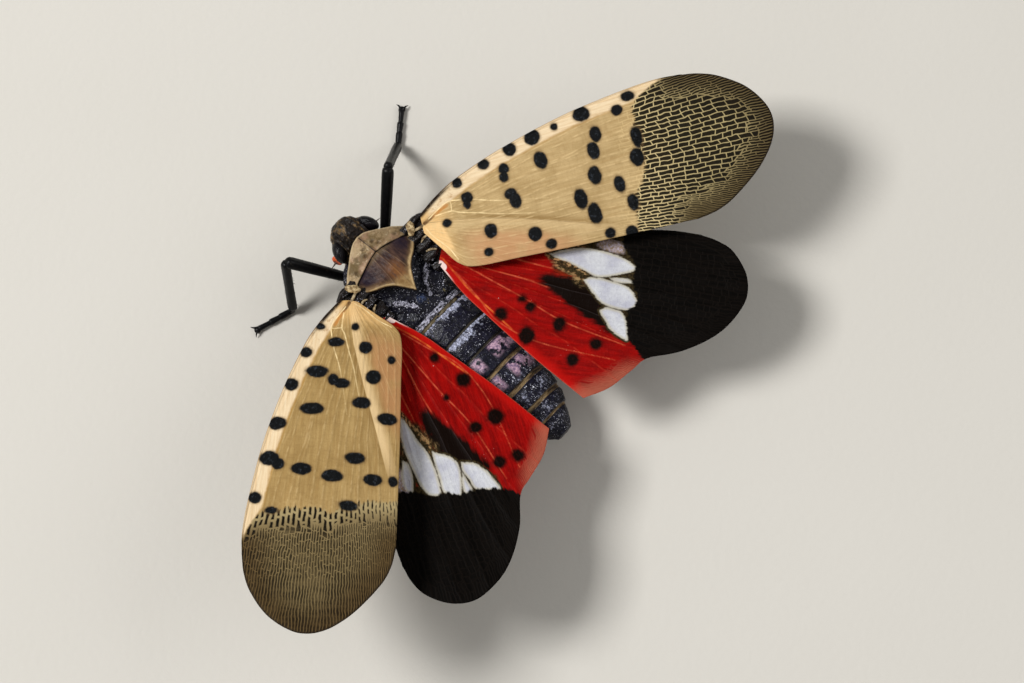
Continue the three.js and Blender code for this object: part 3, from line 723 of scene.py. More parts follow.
# %% [markdown]
# The dark tip of the forewing is a net: rows of cells like laid bricks, with veins between them
# and cross-veins at irregular steps. A brick texture would be too regular. Here the rows come
# from counting lanes that fan out over the wing, and in each lane a one-dimensional Voronoi
# texture, started at its own random place, gives the distance to the next cross-vein. The
# smaller of the two distances, row or cross, says how deep a place lies in its cell. Near the
# margin each lane splits in two, at a cross-vein of its own, and the last stretch has none.

# %% Effect: wing netting
FAN_FROM, FAN_CENTRE = 12.0, -1.8
netting, place, pitch, cell, vein, margin, fine, wander = new_effect("wing netting",
                                                                     "Pitch Cell Vein Margin Fine Wander")
u, v = flat(place)
fan = most(u - FAN_FROM, 0) * 0.03 + 1
fanned = (noise(place, 0.9, 2, 0.6) - 0.5) * wander + (v - FAN_CENTRE) / fan
crowding = most(fanned - 2, 0)
lanes = (crowding * crowding * 0.08 + fanned) / pitch
chance = random_step(calculate("FLOOR", lanes))
split_at = fine + (chance - 0.5) * 0.9
halves = calculate("LESS_THAN", margin, split_at) + 1
row = calculate("FLOOR", lanes * halves)
in_row = lanes * halves - row
start = random_step(row)
slant = (in_row - 0.5) * (start - 0.5) * 0.4
cross = node("ShaderNodeTexVoronoi", {"voronoi_dimensions": "1D", "feature": "DISTANCE_TO_EDGE"},
             W=start * 50 + u / cell + slant, Scale=1, Randomness=0.9)
to_cross = most(cross * cell, fade((chance - 0.5) * 0.7 + margin, 0.5, 0.7, 0.5, 0))
to_cross = least(to_cross, abs(margin - split_at))
row_width = fan * pitch / (halves * (crowding * 0.16 + 1))
inside = calculate("SMOOTH_MIN", to_cross, (0.5 - abs(in_row - 0.5)) * row_width, 0.05)
thickness = (noise(place, 5, 2) * 0.7 + 0.65) * vein
give(Cell=fade(inside, thickness * 0.22, thickness * 0.6))
print("shared effects:", *[group.name for group in bpy.data.node_groups], sep="\n  ")

# %% [markdown]
# Every finish starts alike: a new material on the bench, and a place in millimetres. On the
# wings and plates that place is the plan map, and elsewhere it is the point in space itself.
# Every finish ends alike too: its colour, its bump and sometimes its roughness are plugged.

# %% The start and the end of a finish
def new_finish(name, roughness, specular=0.5):
    """A new material on the bench, with the plain numbers of its Principled shader."""
    material = bpy.data.materials.new(name)
    material.use_nodes = True
    bench.append(material.node_tree)
    sockets = material.node_tree.nodes["Principled BSDF"].inputs
    sockets["Roughness"].default_value = roughness
    sockets["Specular IOR Level"].default_value = specular
    return material


def point_in_space():
    return scaled(node("ShaderNodeTexCoord", out=3), (1000, 1000, 1000))


def plan_map():
    plan = node("ShaderNodeUVMap", {"uv_map": "Plan"})
    return plan, *flat(plan)


def finished(material, color, height, roughness=None):
    """Plugs the colour, the bump of a height in millimetres and the roughness if it varies."""
    sockets = material.node_tree.nodes["Principled BSDF"].inputs
    plug(sockets["Base Color"], color)
    plug(sockets["Normal"], node("ShaderNodeBump", Height=height, Strength=1, Distance=MM))
    if roughness is not None:
        plug(sockets["Roughness"], roughness)
    return material


print("a finish starts from a Principled shader")

# %% [markdown]
# ## The forewing's finish
#
# The finish is laid on like paint, from the ground colour up: tan with fine lengthwise streaks,
# the orange root, the pinkish rear field, the pale veins, the cream band, then the net with its
# dark cells, and last the black spots, because they lie over everything else. The two wings'
# markings differ a little, as on most insects, so each wing has its own look: how strongly its
# lines and cells are drawn, how wide the rows of its net are, and how far from the start of the
# net (broad) and from the margin (fine) the rows split into finer ones. Each wing has its own
# tans too; the left wing's are darker, and that is painted shade, for that wing tilts up away
# from the light.

# %% Forewing finish
def forewing_finish(side, tans, look):
    material = new_finish(f"forewing leather {side}", 0.5, specular=0.06)
    plan, u, v = plan_map()
    names = ("spots", "net", "front", "tipward", "claval", "rootveins", "streak", "vein")
    to_spots, to_net, to_front, to_margin, to_claval, to_root_veins, to_streak, to_vein = map(field, names)
    streaks = noise(plan, (0.3, 5.5, 1), 5, 0.7)
    clouds = noise(plan, 0.5, 4, 0.6)
    color = mix(fade(streaks, 0.3, 0.7), tans[0], tans[1])
    color = mix(fade(clouds, 0.4, 0.7) * 0.6, color, tans[2])
    wrinkled = fade(noise(plan, (5, 1.2, 1), 4, 0.7), 0.45, 0.75)
    color = mix(wrinkled * 0.3, color, tans[3])
    mottled = fade(noise(plan, 6, 4, 0.75), 0.5, 0.72)
    color = mix(mottled * 0.22, color, tans[3])
    past_claval = fade(u, 13, 9.5)
    rosy = fade(to_claval, 0.35, 1.3) * fade(u, 1.6, 3.2) * fade(u, 10.5, 7)
    color = mix(rosy * fade(clouds, 0.1, 0.55) * 0.8, color, tans[4])
    pale_side = fade(to_claval, -0.06, 0.02) * fade(to_claval, 0.85, 0.2) * past_claval
    color = mix(pale_side * look.pale_side, color, (222, 192, 144))
    # This soft brown band in front of the claval vein is painted shade beside the vein.
    dark_side = fade(to_claval, -0.5, -0.12) * fade(to_claval, -0.02, -0.07)
    dark_side = dark_side * fade(u, 2.2, 4.2) * past_claval
    color = mix(dark_side * 0.65, color, (132, 102, 56))
    root = fade(u, 2.3, 0.5) * fade(clouds, 0.2, 0.5)
    color = mix(root * 0.65, color, (232, 184, 118))
    plate = fade(u + v * -0.2, 1.3, 1.1) * fade(v, -0.4, 0.2) * fade(v, 2.1, 1.6)
    plate = plate * fade(wrinkled, 0, 1, 1, 0.4)
    color = mix(plate * look.root_plate, color, (250, 208, 146))
    bearing = node("ShaderNodeCombineXYZ", X=calculate("ARCTAN2", v, u + 0.4) * 10,
                   Y=calculate("SQRT", u * u + v * v))
    rays = noise(bearing, (5.28, 0.264, 1), 3, 0.6)
    near_root = fade(u, 8.5, 1.5, 0.3, 1)
    color = mix(fade(rays, 0.52, 0.7) * near_root * 0.4, color, (164, 124, 70))
    color = mix(fade(rays, 0.44, 0.3) * near_root * 0.35, color, (230, 198, 146))
    color = mix(line(plan, to_vein, 0.09, 0.8) * look.veins, color, (216, 188, 138))
    color = mix(line(plan, to_claval, 0.07, 0.5) * past_claval * look.dark_side, color, (112, 82, 46))
    band_width = fade(u, 0.4, 2.4, 0.6, 0.94) - fade(u, 14, 17, 0, 0.85)
    from_band = to_front - band_width
    in_band = patch(plan, from_band, 0.2, 1.5, 0.1) * fade(u, 0.1, 1) * fade(u, 17, 16.2)
    color = mix(line(plan, from_band, 0.3, 0.3) * fade(u, 16, 13) * 0.5, color, tans[5])
    cream = mix(fade(streaks, 0.35, 0.7), (226, 204, 168), (208, 179, 138))
    rusty = fade(noise(plan, 2.6, 4, 0.7), 0.52, 0.7) * fade(u, 4.5, 1.5, 0.1, 0.7)
    cream = mix(rusty, cream, (172, 134, 92))
    color = mix(in_band, color, cream)
    near_edge = fade(to_front, 0.11, 0.03) * fade(u, 6, 3, 0.5, 0.95)
    color = mix(near_edge, color, (118, 84, 48))
    shoulder = fade(to_front, 0.36, 0.14) * fade(u, 2.9, 1.3)
    color = mix(shoulder * fade(mottled, 0, 1, 1, 0.7), color, (36, 26, 19))
    rust = mix(fade(u, 0.5, 1.1), (74, 44, 22), (186, 124, 62))
    color = mix(line(plan, to_streak, 0.26, 0.4) * 0.85, color, rust)
    root_lines = line(plan, to_root_veins, 0.085, 0.5) * fade(u, 8, 2, 0.15, 0.85)
    color = mix(root_lines, color, (248, 222, 168))

    to_fine = least(to_margin + look.slack, to_net + (look.fine + look.broad))
    vein_width = fade(to_net, -1.5, -1, 0.084, look.first_veins)
    cells = effect(netting, Place=plan, Pitch=look.pitch, Cell=0.74, Vein=vein_width, Margin=to_fine,
                   Fine=look.fine, Wander=0.26)
    tongues = (streaks - 0.5) * 1.1 + to_net
    in_net = patch(plan, tongues, 0.5, 1.4, 0.1) * (1 - in_band)
    before_net = fade(to_net, 1.9, 0.2) * (1 - cells)
    color = mix(before_net * look.before_net, color, (220, 192, 138))
    bands = noise(plan, (1.9, 0.5, 1), 3, 0.6)
    gold = mix(fade(u, 13.5, 18), (196, 176, 128), (166, 150, 106))
    gold = mix(fade(to_margin, 2.6, 0.3), gold, (94, 80, 52))
    smoke = mix(fade(bands, 0.4, 0.6), (20, 14, 7), (10, 7, 4))
    deep = fade(to_net, -0.9, -1.9, look.first_cells, look.far_cells)
    deep = deep * most(fade(bands, 0.35, 0.6, look.palest, 1), fade(to_net, -1.6, -1.1))
    gold = mix(fade(to_net, -0.2, -1.2, look.dulled * 0.6, look.dulled), gold, (84, 64, 36))
    net_color = mix(cells * deep, gold, smoke)
    color = mix(in_net, color, net_color)
    color = mix(fade(to_margin, 0.16, 0.04) * in_net * 0.8, color, (36, 27, 16))

    halo = patch(plan, to_spots - 0.08, 0.2, 3, 0.09) * 0.4
    color = mix(halo, color, (112, 86, 54))
    spot = patch(plan, to_spots, 0.22, 1.6, 0.06)
    # The blue-grey patches in the black spots are partly a waxy bloom and partly a painted sheen.
    sheen = fade(noise(plan, 4, 4, 0.7), 0.52, 0.72)
    color = mix(spot, color, mix(sheen * 0.5, (16, 17, 18), (64, 70, 78)))

    wrinkles = noise(plan, (4.5, 0.9, 1), 4, 0.7) * 0.018 + streaks * 0.022
    pits = noise(plan, 14, 3)
    height = wrinkles + rays * near_root * 0.03 + pits * 0.008 + cells * in_net * -0.03
    return finished(material, color, height, pits * 0.15 + 0.42 + spot * -0.1)


RIGHT_TANS = ((192, 165, 118), (172, 144, 98), (154, 127, 82), (144, 115, 74), (188, 139, 98),
              (178, 138, 84))
# The left wing's tans are the right's made darker: painted shade, as the left wing tilts up away from the
# light.
LEFT_TANS_IN_SHADE = ((172, 143, 92), (150, 121, 73), (140, 111, 64), (122, 95, 55), (172, 124, 82), (176, 132, 66))
RIGHT_LOOK = SimpleNamespace(pale_side=0.3, veins=0.4, dark_side=0.45, root_plate=0.6, before_net=0.35,
                             pitch=0.265, fine=1.35, broad=90, slack=0, first_veins=0.084,
                             first_cells=0.98, far_cells=0.98, palest=1, dulled=0)
LEFT_LOOK = SimpleNamespace(pale_side=0.8, veins=0.22, dark_side=0, root_plate=0.15, before_net=0.08,
                            pitch=0.29, fine=3.9, broad=1.3, slack=3, first_veins=0.2,
                            first_cells=1, far_cells=0.85, palest=0.62, dulled=0.7)
forewing_leather = {"right": forewing_finish("right", RIGHT_TANS, RIGHT_LOOK),
                    "left": forewing_finish("left", LEFT_TANS_IN_SHADE, LEFT_LOOK)}
print("forewing finishes:", *[material.name for material in forewing_leather.values()], sep="\n  ")

# %% [markdown]
# ## The hindwing's finish
#
# Red first, deeper between the veins and brighter along the inner rim. Then the veins in orange
# pink, the black blotch with its rusty, tan-flecked front, the white lobes with thin olive
# edges, the black tip, and the spots. Feathery edges come from a noise that is stretched along
# the wing before it is added to the stored distance. The black isn't flat: fine ribs run in it.

# %% Hindwing finish
def hindwing_finish():
    material = new_finish("hindwing membrane", 0.55, specular=0.03)
    plan, u, v = plan_map()
    to_spots, to_white, to_grey, to_blotch, to_lace, to_tip, to_lines = map(
        field, ("spots", "white", "grey", "blotch", "lace", "tip", "lines"))
    to_root, to_rear, to_margin, to_vein = map(field, ("root", "rearward", "tipward", "vein"))
    feathers = scaled(plan, (0.55, 1.7, 1))
    streaks = noise(plan, (0.35, 3, 1), 5, 0.7)
    clouds = noise(plan, 0.8, 4, 0.6)
    fine_grain = noise(plan, 6, 4, 0.75)
    cells = effect(netting, Place=plan, Pitch=0.36, Cell=0.55, Vein=0.09, Margin=to_margin, Fine=1,
                   Wander=0.5)
    veins_only = 1 - cells
    color = mix(fade(streaks, 0.3, 0.7), (152, 9, 6), (112, 5, 4))
    color = mix(fade(clouds, 0.42, 0.72) * 0.55, color, (94, 5, 5))
    color = mix(fade(fine_grain, 0.5, 0.7) * 0.25, color, (170, 30, 18))
    rim = fade(to_rear, 0.75, 0.15)
    color = mix(rim * 0.75, color, (178, 15, 9))
    pale_margin = fade(to_margin, 1.3, 0.1) * fade(v, 4.6, 6)
    color = mix(pale_margin * 0.55, color, (120, 48, 38))
    color = mix(pale_margin * veins_only * 0.6, color, (176, 104, 80))
    color = mix(line(plan, to_vein, 0.08, 0.9) * 0.3, color, (186, 56, 36))
    color = mix(line(plan, to_lines, 0.11, 0.6) * 0.65, color, (196, 86, 56))
    rim_line = to_rear - 0.42
    color = mix(line(plan, rim_line, 0.12, 0.7) * fade(u, 5.5, 4.2) * 0.8, color, (212, 104, 46))
    edge = fade(least(to_rear, to_margin), 0.08, 0.02) * 0.5
    color = mix(edge, color, (196, 92, 72))
    root_edge = fade(u, 1.1, 0.3) * fade(to_rear, 0.12, 0.04)
    root = most(fade(to_root, 0.27, 0.2), root_edge)
    color = mix(root, color, (230, 206, 198))
    dust = voronoi(plan, 3.6)
    dusted = fade(dust, 0.08, 0.04) * fade(noise(plan, 1.1, 2), 0.54, 0.6)
    color = mix(dusted * 0.55, color, (222, 150, 140))

    olive = mix(fade(fine_grain, 0.4, 0.6), (60, 50, 28), (30, 22, 12))
    rust = mix(fade(noise(feathers, 3, 4, 0.75), 0.42, 0.56), (34, 18, 8), (112, 32, 12))
    laced = patch(feathers, to_lace, 0.8, 1.6, 0.3)
    color = mix(laced, color, rust)
    hugging = fade(to_white, 0.42, 0.2) * fade(v, 0.7, 1.1) * fade(v, 3.3, 2.9) * fade(u, 11.4, 11)
    blotch = most(patch(feathers, to_blotch - 0.08, 0.8, 1.6, 0.22), hugging)
    color = mix(blotch, color, (15, 7, 4))
    ribbed = patch(plan, to_blotch, 0.3, 1.6, 0.1) * line(plan, to_vein, 0.06, 0.4) * 0.25
    color = mix(ribbed, color, (74, 66, 66))
    before_white = fade(to_white, 0.4, 0.15) * fade(u, 10.6, 9.8) * fade(v, 1, 0.4)
    near_white = most(before_white, laced * fade(to_white, 0.85, 0.4))
    flecks = noise(plan, (1.5, 3.45, 1), 4, 0.75)
    color = mix(near_white * fade(flecks, 0.58, 0.52), color, olive)
    color = mix(near_white * fade(flecks, 0.5, 0.6) * 0.8, color, (164, 134, 90))
    outside = fade(u, 8, 9) * fade(v, -0.9, -1.4)
    before_tip = fade(to_tip, 1.1, 0.8) * fade(v, 4, 3.6) * fade(u, 10.8, 11.2)
    between = most(fade(u, 8.6, 9.6) * fade(to_white, 0.2, 0.1), most(outside, before_tip))
    color = mix(between, color, olive)
    lilac = mix(fade(fine_grain, 0.35, 0.6), (168, 158, 172), (132, 112, 92))
    color = mix(patch(feathers, to_grey, 0.5, 2, 0.15), color, lilac)
    pearl = mix(fade(clouds, 0.35, 0.7), (200, 201, 204), (172, 172, 184))
    pearl = mix(fade(fine_grain, 0.4, 0.7, 0, 0.4), pearl, (164, 164, 170))
    pearl = mix(fade(to_white, -0.22, -0.02, 0, 0.7), pearl, (178, 170, 144))
    color = mix(patch(feathers, to_white, 0.22, 2.6, 0.06), color, pearl)
    rib_shade = mix(fade(streaks, 0.35, 0.65), (4, 3, 2), (11, 8, 6))
    black = mix(veins_only * 0.45, rib_shade, (19, 14, 10))
    color = mix(patch(feathers, to_tip, 0.7, 2, 0.1), color, black)
    specks = voronoi(plan, 0.5)
    color = mix(fade(specks, 0.026, 0.016) * 0.7, color, (190, 188, 184))
    spot = patch(plan, to_spots, 0.36, 2.2, 0.17)
    color = mix(spot, color, mix(fade(fine_grain, 0.5, 0.7), (13, 5, 3), (38, 10, 6)))

    wrinkles = noise(plan, (3.2, 0.8, 1), 4, 0.7) * 0.02
    return finished(material, color, wrinkles + streaks * 0.024 + cells * -0.008)


hindwing_membrane = hindwing_finish()
print("hindwing finish has", len(hindwing_membrane.node_tree.nodes), "nodes")

# %% [markdown]
# ## The trunk
#
# Under the wings lies the trunk: the thorax that carries wings and legs, and the abdomen behind
# it. Both are stacks of oval rings, so one function makes such a skin from a table of sections,
# each with a place along the body, a half width, a top and a bottom. Folds, joints and dents
# are added as small moves along the outward direction, so the ovals never get in the way.

# %% Rings of the trunk
THORAX_SECTIONS = [(-2.0, 0.7, 4.3, 3.3), (-1.75, 1.1, 4.6, 3.0), (-1.2, 1.95, 4.95, 2.75),
                   (-0.6, 2.5, 5.3, 2.4), (0.4, 2.75, 5.7, 2.15), (1.4, 2.75, 5.9, 2.0),
                   (2.4, 2.75, 5.55, 1.9), (3.4, 2.7, 5.2, 1.8), (4.3, 2.6, 5.1, 1.6),
                   (5.12, 2.5, 5.0, 1.5)]
ABDOMEN_SECTIONS = [(5.27, 2.5, 5.0, 1.45), (8, 2.65, 5.15, 1.2), (11, 2.55, 5.0, 1.25),
                    (13.6, 2.05, 4.65, 1.6), (14.6, 1.55, 4.3, 1.95), (15.3, 1.0, 3.95, 2.3),
                    (15.9, 0.5, 3.55, 2.55)]


def trunk_grid(sections, start, end, rows, sides, square=1.0):
    """Oval rings between two places along the body, and the outward direction at each point."""
    table = np.array(sections)
    y = np.linspace(start, end, rows)
    half, top, bottom = (np.interp(y, table[:, 0], table[:, n])[:, None] for n in (1, 2, 3))
    angle = np.linspace(0, 2 * math.pi, sides, endpoint=False)[None]
    middle, tall = (top + bottom) / 2, (top - bottom) / 2
    across = np.sign(np.cos(angle)) * np.abs(np.cos(angle)) ** square
    upward_share = np.sign(np.sin(angle)) * np.abs(np.sin(angle)) ** square
    ring = np.stack([half * across, y[:, None] + 0 * angle, middle + tall * upward_share], -1)
    outward = np.stack([np.cos(angle) / half, 0 * y[:, None] + 0 * angle, np.sin(angle) / tall], -1)
    return ring, outward / np.linalg.norm(outward, axis=-1, keepdims=True)


def capped(values, front=0, rear=0):
    """A field over the rings of a skin, with the values for the points that close its ends."""
    return np.append(values.ravel(), [front, rear])


def tube(path, radii, sides=16, ridges=0.0):
    """A closed round skin along a path, with the given radius at each point of it."""
    path, radii = np.asarray(path, float), np.asarray(radii, float)
    tangent = np.gradient(path, axis=0)
    tangent /= np.linalg.norm(tangent, axis=1, keepdims=True)
    aside = np.cross(tangent, [0.13, 0.21, 0.97])
    aside /= np.linalg.norm(aside, axis=1, keepdims=True)
    above = np.cross(aside, tangent)
    angle = np.linspace(0, 2 * math.pi, sides, endpoint=False)[None, :, None]
    swell = 1 + ridges * np.cos(5 * angle)
    ring = np.cos(angle) * aside[:, None] + np.sin(angle) * above[:, None]
    return sleeve(path[:, None] + ring * radii[:, None, None] * swell)


def spike(base, tip, radius, sides=6):
    """A tapering spine or hair from its base to its tip."""
    base, tip = np.asarray(base, float), np.asarray(tip, float)
    shares = np.array([0, 0.35, 0.7, 1.0])[:, None]
    return tube(base + shares * (tip - base), radius * np.array([1, 0.75, 0.4, 0.06]), sides)


def blob(centre, radii, rows=20, sides=24, seed=0, rough=0.0, size=0.3, turn=0.0):
    """A closed rounded lump, dented a little where rough is set."""
    polar = np.linspace(0.02, math.pi - 0.02, rows)[:, None]
    angle = np.linspace(0, 2 * math.pi, sides, endpoint=False)[None]
    ball = [np.sin(polar) * np.cos(angle), np.sin(polar) * np.sin(angle), np.cos(polar) + 0 * angle]
    points = np.stack(ball, -1) * np.array(radii)
    points = points * (1 + rough * unevenness(points + 3.7 * seed, size, seed)[..., None])
    cosine, sine = math.cos(turn), math.sin(turn)
    points = points @ np.array([[cosine, sine, 0], [-sine, cosine, 0], [0, 0, 1]])
    return sleeve(points + np.array(centre))


print("trunk sections:", len(THORAX_SECTIONS) + len(ABDOMEN_SECTIONS))

# %% [markdown]
# Behind the big plate the thorax shows as black, creased cuticle. On each side two broad lobes
# slant back towards the middle, a round knob sits between them behind the plate's tip, and a
# narrow collar closes the thorax towards the abdomen. Each is a swelling round a line or a
# point, added to the oval rings. Where the wax gathers is stored too: it lies on the lobes.

# %% Thorax skin
LOBES = [([(2.2, 2.15), (1.8, 2.55), (1.2, 2.98), (0.8, 3.5), (0.62, 4.0)], 0.26, 0.26),
         ([(2.62, 2.8), (2.1, 3.5), (1.6, 4.1), (1.2, 4.55)], 0.22, 0.28)]
KNOB, KNOB_REACH = (0, 3.78), 0.3
COLLAR = (4.72, 5.2)
SUNK = 0.12
THORAX_START, THORAX_END = -2.0, 5.35

ring, outward = trunk_grid(THORAX_SECTIONS, THORAX_START, THORAX_END, 230, 200)
mirrored = np.stack([np.abs(ring[..., 0]), ring[..., 1]], -1)
upper = ease(ring[..., 2], 3.6, 4.6)
before_collar = 1 - ease(ring[..., 1], COLLAR[0] - 0.15, COLLAR[0])
swellings = [height * np.exp(-(sketch_distance(mirrored, middle) / reach) ** 2)
             for middle, height, reach in LOBES]
knob = np.exp(-(np.linalg.norm(mirrored - KNOB, axis=-1) / KNOB_REACH) ** 4)
collar = ease(ring[..., 1], COLLAR[0], COLLAR[0] + 0.08)
collar = collar * (1 - ease(ring[..., 1], COLLAR[1] - 0.08, COLLAR[1]))
relief = (sum(swellings) + 0.24 * knob) * before_collar * upper + 0.1 * collar * upper - SUNK
relief += (0.1 * unevenness(ring, 0.7, 3) + 0.06 * unevenness(ring, 0.28, 4)
           + 0.03 * unevenness(ring, 0.12, 5))
ring = ring + outward * relief[..., None]
thorax_shape = sleeve(ring)
on_lobes = swellings[0] / LOBES[0][1] + 0.35 * swellings[1] / LOBES[1][1]
uneven_wax = 0.8 + 0.5 * unevenness(ring, 0.55, 6)
crest = upper * np.clip(before_collar * on_lobes * uneven_wax + 0.75 * collar, 0, 1)
thorax_fields = {"crest": capped(crest), "knob": capped(knob * upper), "back": capped(upper),
                 "behind": capped(ring[..., 1], 0, THORAX_END)}
print("thorax skin points:", ring[..., 0].size)

# %% [markdown]
# The abdomen is a row of rings like the laps of a telescope. Each ring widens to its rear edge
# and then steps in, and between the rear rings a strip of tan skin shows. How far along its
# ring each point lies is stored, because the wax gathers at the front of a ring.

# %% Abdomen skin
RING_STARTS = [5.32, 7.1, 8.74, 10.37, 12.1, 13.6, 14.6, 15.8]
ABDOMEN_START = 4.9
STEP = 0.17
SKIN_FROM = np.array([0.93, 0.92, 0.87, 0.85, 0.82, 0.86, 1.2])

ring, outward = trunk_grid(ABDOMEN_SECTIONS, ABDOMEN_START, RING_STARTS[-1], 360, 180)
place = ring[..., 1]
number = np.clip(np.searchsorted(RING_STARTS, place) - 1, 0, len(RING_STARTS) - 2)
starts = np.array(RING_STARTS)
share = (place - starts[number]) / (starts[number + 1] - starts[number])
past_step = ease(share - SKIN_FROM[number], -0.05, 0.0)
lap = STEP * (0.45 + 0.55 * ease(share, 0.0, 0.3)) * (1 - past_step)
flutes = np.cos(6 * np.arctan2(ring[..., 2] - 3.1, ring[..., 0])) * ease(share, 0.1, 0.5)
relief = lap + 0.01 * past_step - 0.2 + 0.05 * flutes * (1 - lap / STEP * 0.5)
relief += 0.045 * unevenness(ring, 0.5, 8) + 0.02 * unevenness(ring, 0.16, 9)
ring = ring + outward * relief[..., None]
abdomen_shape = sleeve(ring)
abdomen_fields = {"share": capped(share, 0, 1), "ring": capped(number, 0, 6),
                  "skin": capped(share - SKIN_FROM[number], -1, -1), "aside": capped(np.abs(ring[..., 0])),
                  "upper": capped(ease(ring[..., 2], 3.2, 4.3))}
print("abdomen rings:", len(RING_STARTS) - 1)

# %% [markdown]
# ## The plates on the back
#
# Two shields cover the back. The tan pronotum lies behind the head like a collar, and the
# purple-brown mesonotum, a triangle with its point to the rear, fills the space between the
# forewings. A grid between a front and a rear margin follows their outlines exactly, and one
# height function for the whole back lets the two plates sit in one smooth curve.

# %% Plates
PRONOTUM_FRONT = [(2.62, -0.12), (2.15, -0.52), (1.62, -0.88), (1.1, -1.24), (0.5, -1.58), (0, -1.66)]
PRONOTUM_REAR = [(2.4, 0.56), (2.1, 0.42), (1.5, 0.27), (0.8, 0.1), (0.3, 0.0), (0, -0.05)]
MESONOTUM_FRONT = [(2.32, 0.4), (1.5, 0.05), (0.8, -0.12), (0, -0.25)]
MESONOTUM_REAR = [(2.36, 0.66), (2.2, 1.12), (1.72, 1.55), (1.2, 1.86), (0.8, 2.2), (0.45, 2.68),
                  (0.15, 3.15), (0, 3.38)]
BACK_LINE = [(-1.75, 6.0), (-0.1, 6.72), (1.5, 6.88), (3.4, 6.35)]
BACK_FALL = 1.15
PLATE = 0.5
PITS = [(0.39, -0.75), (0.62, -0.35), (1.75, -0.1)]
TUCKED = 0.2


def back_height(x, y):
    line = np.array(BACK_LINE)
    return np.interp(y, line[:, 0], line[:, 1]) - BACK_FALL * (x / 2.5) ** 2


def mirrored_margin(half, count):
    """A smooth margin from the left end over the midline to the right end."""
    both = half + [(-x, y) for x, y in half[-2::-1]]
    return curve(both, count)


def plate_grid(front, rear, rows, columns):
    before, behind = mirrored_margin(front, columns), mirrored_margin(rear, columns)
    share = np.linspace(0, 1, rows)[:, None, None]
    return before * (1 - share) + behind * share


def plate_shape(plan, relief):
    """A plate on the back: its upper face with relief, rounded down at all four edges."""
    rows, columns, _ = plan.shape
    i, j = np.linspace(0, 1, rows)[:, None], np.linspace(0, 1, columns)[None]
    edge = np.minimum(np.minimum(i, 1 - i) * 9, np.minimum(j, 1 - j) * 16)
    rounding = 0.12 * (1 - np.sqrt(np.clip(1 - (1 - np.clip(edge, 0, 1)) ** 2, 0, 1)))
    height = back_height(plan[..., 0], plan[..., 1])
    upper_face = np.dstack([plan, height + relief - rounding])
    return two_faced(upper_face, np.dstack([plan, height - PLATE]))


def plate_fields(plan, **fields):
    """Distances to the rear and the front margin, and other values, for both faces of a plate."""
    fields["rim"] = sketch_distance(plan, plan[-1], len(plan[-1]))
    fields["brow"] = sketch_distance(plan, plan[0], len(plan[0]))
    return {name: np.tile(values.ravel(), 2) for name, values in fields.items()}


pronotum_plan = plate_grid(PRONOTUM_FRONT, PRONOTUM_REAR, 90, 190)
x, y = pronotum_plan[..., 0], pronotum_plan[..., 1]
relief = 0.08 * np.exp(-(x / 0.1) ** 2) - 0.05 * np.exp(-((np.abs(x) - 0.2) / 0.12) ** 2)
pits = sum(np.exp(-((np.abs(x) - pit_x) ** 2 + (y - pit_y) ** 2) / 0.13 ** 2) for pit_x, pit_y in PITS)
relief -= 0.12 * pits
relief += 0.07 * unevenness(pronotum_plan, 0.75, 10) + 0.04 * unevenness(pronotum_plan, 0.36, 11)
relief += 0.016 * unevenness(pronotum_plan, 0.14, 12)
pronotum_shape = plate_shape(pronotum_plan, relief)
pronotum_fields = plate_fields(pronotum_plan, pits=pits)

mesonotum_plan = plate_grid(MESONOTUM_FRONT, MESONOTUM_REAR, 110, 190)
x, y = mesonotum_plan[..., 0], mesonotum_plan[..., 1]
mesonotum_fields = plate_fields(mesonotum_plan)
rim = mesonotum_fields["rim"][:x.size].reshape(x.shape)
pronotum_edge = np.interp(np.abs(x), *np.array(PRONOTUM_REAR[::-1]).T)
side_ridge = np.abs(np.abs(x) - (0.42 + 0.12 * y))
relief = 0.05 * np.exp(-(x / 0.07) ** 2) + 0.04 * np.exp(-(side_ridge / 0.08) ** 2)
relief += 0.05 * np.exp(-((rim - 0.06) / 0.05) ** 2) - 0.04 * np.exp(-((rim - 0.24) / 0.12) ** 2)
relief -= TUCKED * (1 - ease(y - pronotum_edge, -0.1, 0.3)) ** 2
relief += 0.03 * unevenness(mesonotum_plan, 0.5, 13) + 0.012 * unevenness(mesonotum_plan, 0.14, 14)
mesonotum_shape = plate_shape(mesonotum_plan, relief)
print("plates: points", len(pronotum_shape[0]) + len(mesonotum_shape[0]))

# %% [markdown]
# ## Head
#
# From above the head is a blunt wedge, with the eyes bulging at its sides and the bulbs of the
# antennae below them. A stack of ovals gives the capsule; the eyes are their own glossy pieces.

# %% Head, eyes, antennae and beak
HEAD_START, HEAD_END = -3.48, -1.1
HEAD_SECTIONS = [(-1.1, 0.9, 4.5, 3.5), (-1.3, 1.5, 4.9, 3.2), (-1.5, 1.58, 5.1, 3.1),
                 (-1.9, 1.36, 5.35, 2.8), (-2.35, 1.2, 5.5, 2.6), (-2.8, 1.14, 5.5, 2.75),
                 (-3.1, 1.0, 5.4, 3.1), (-3.32, 0.8, 5.2, 3.6), (-3.48, 0.5, 4.95, 4.1)]
EYE_CENTRE, EYE_RADII, EYE_TURN = (1.3, -1.98, 4.9), (0.4, 0.72, 0.54), 0.38
ANTENNA = ((1.3, -2.05, 3.55), (2.25, -1.85, 3.8))
BEAK = ((0, -2.62, 3.1), (0, -2.5, 2.35), (0, -2.0, 1.92), (0, 3.0, 1.15))
TEGULA_CENTRE, TEGULA_RADII = (2.62, 0.45, 6.3), (0.52, 0.26, 0.2)

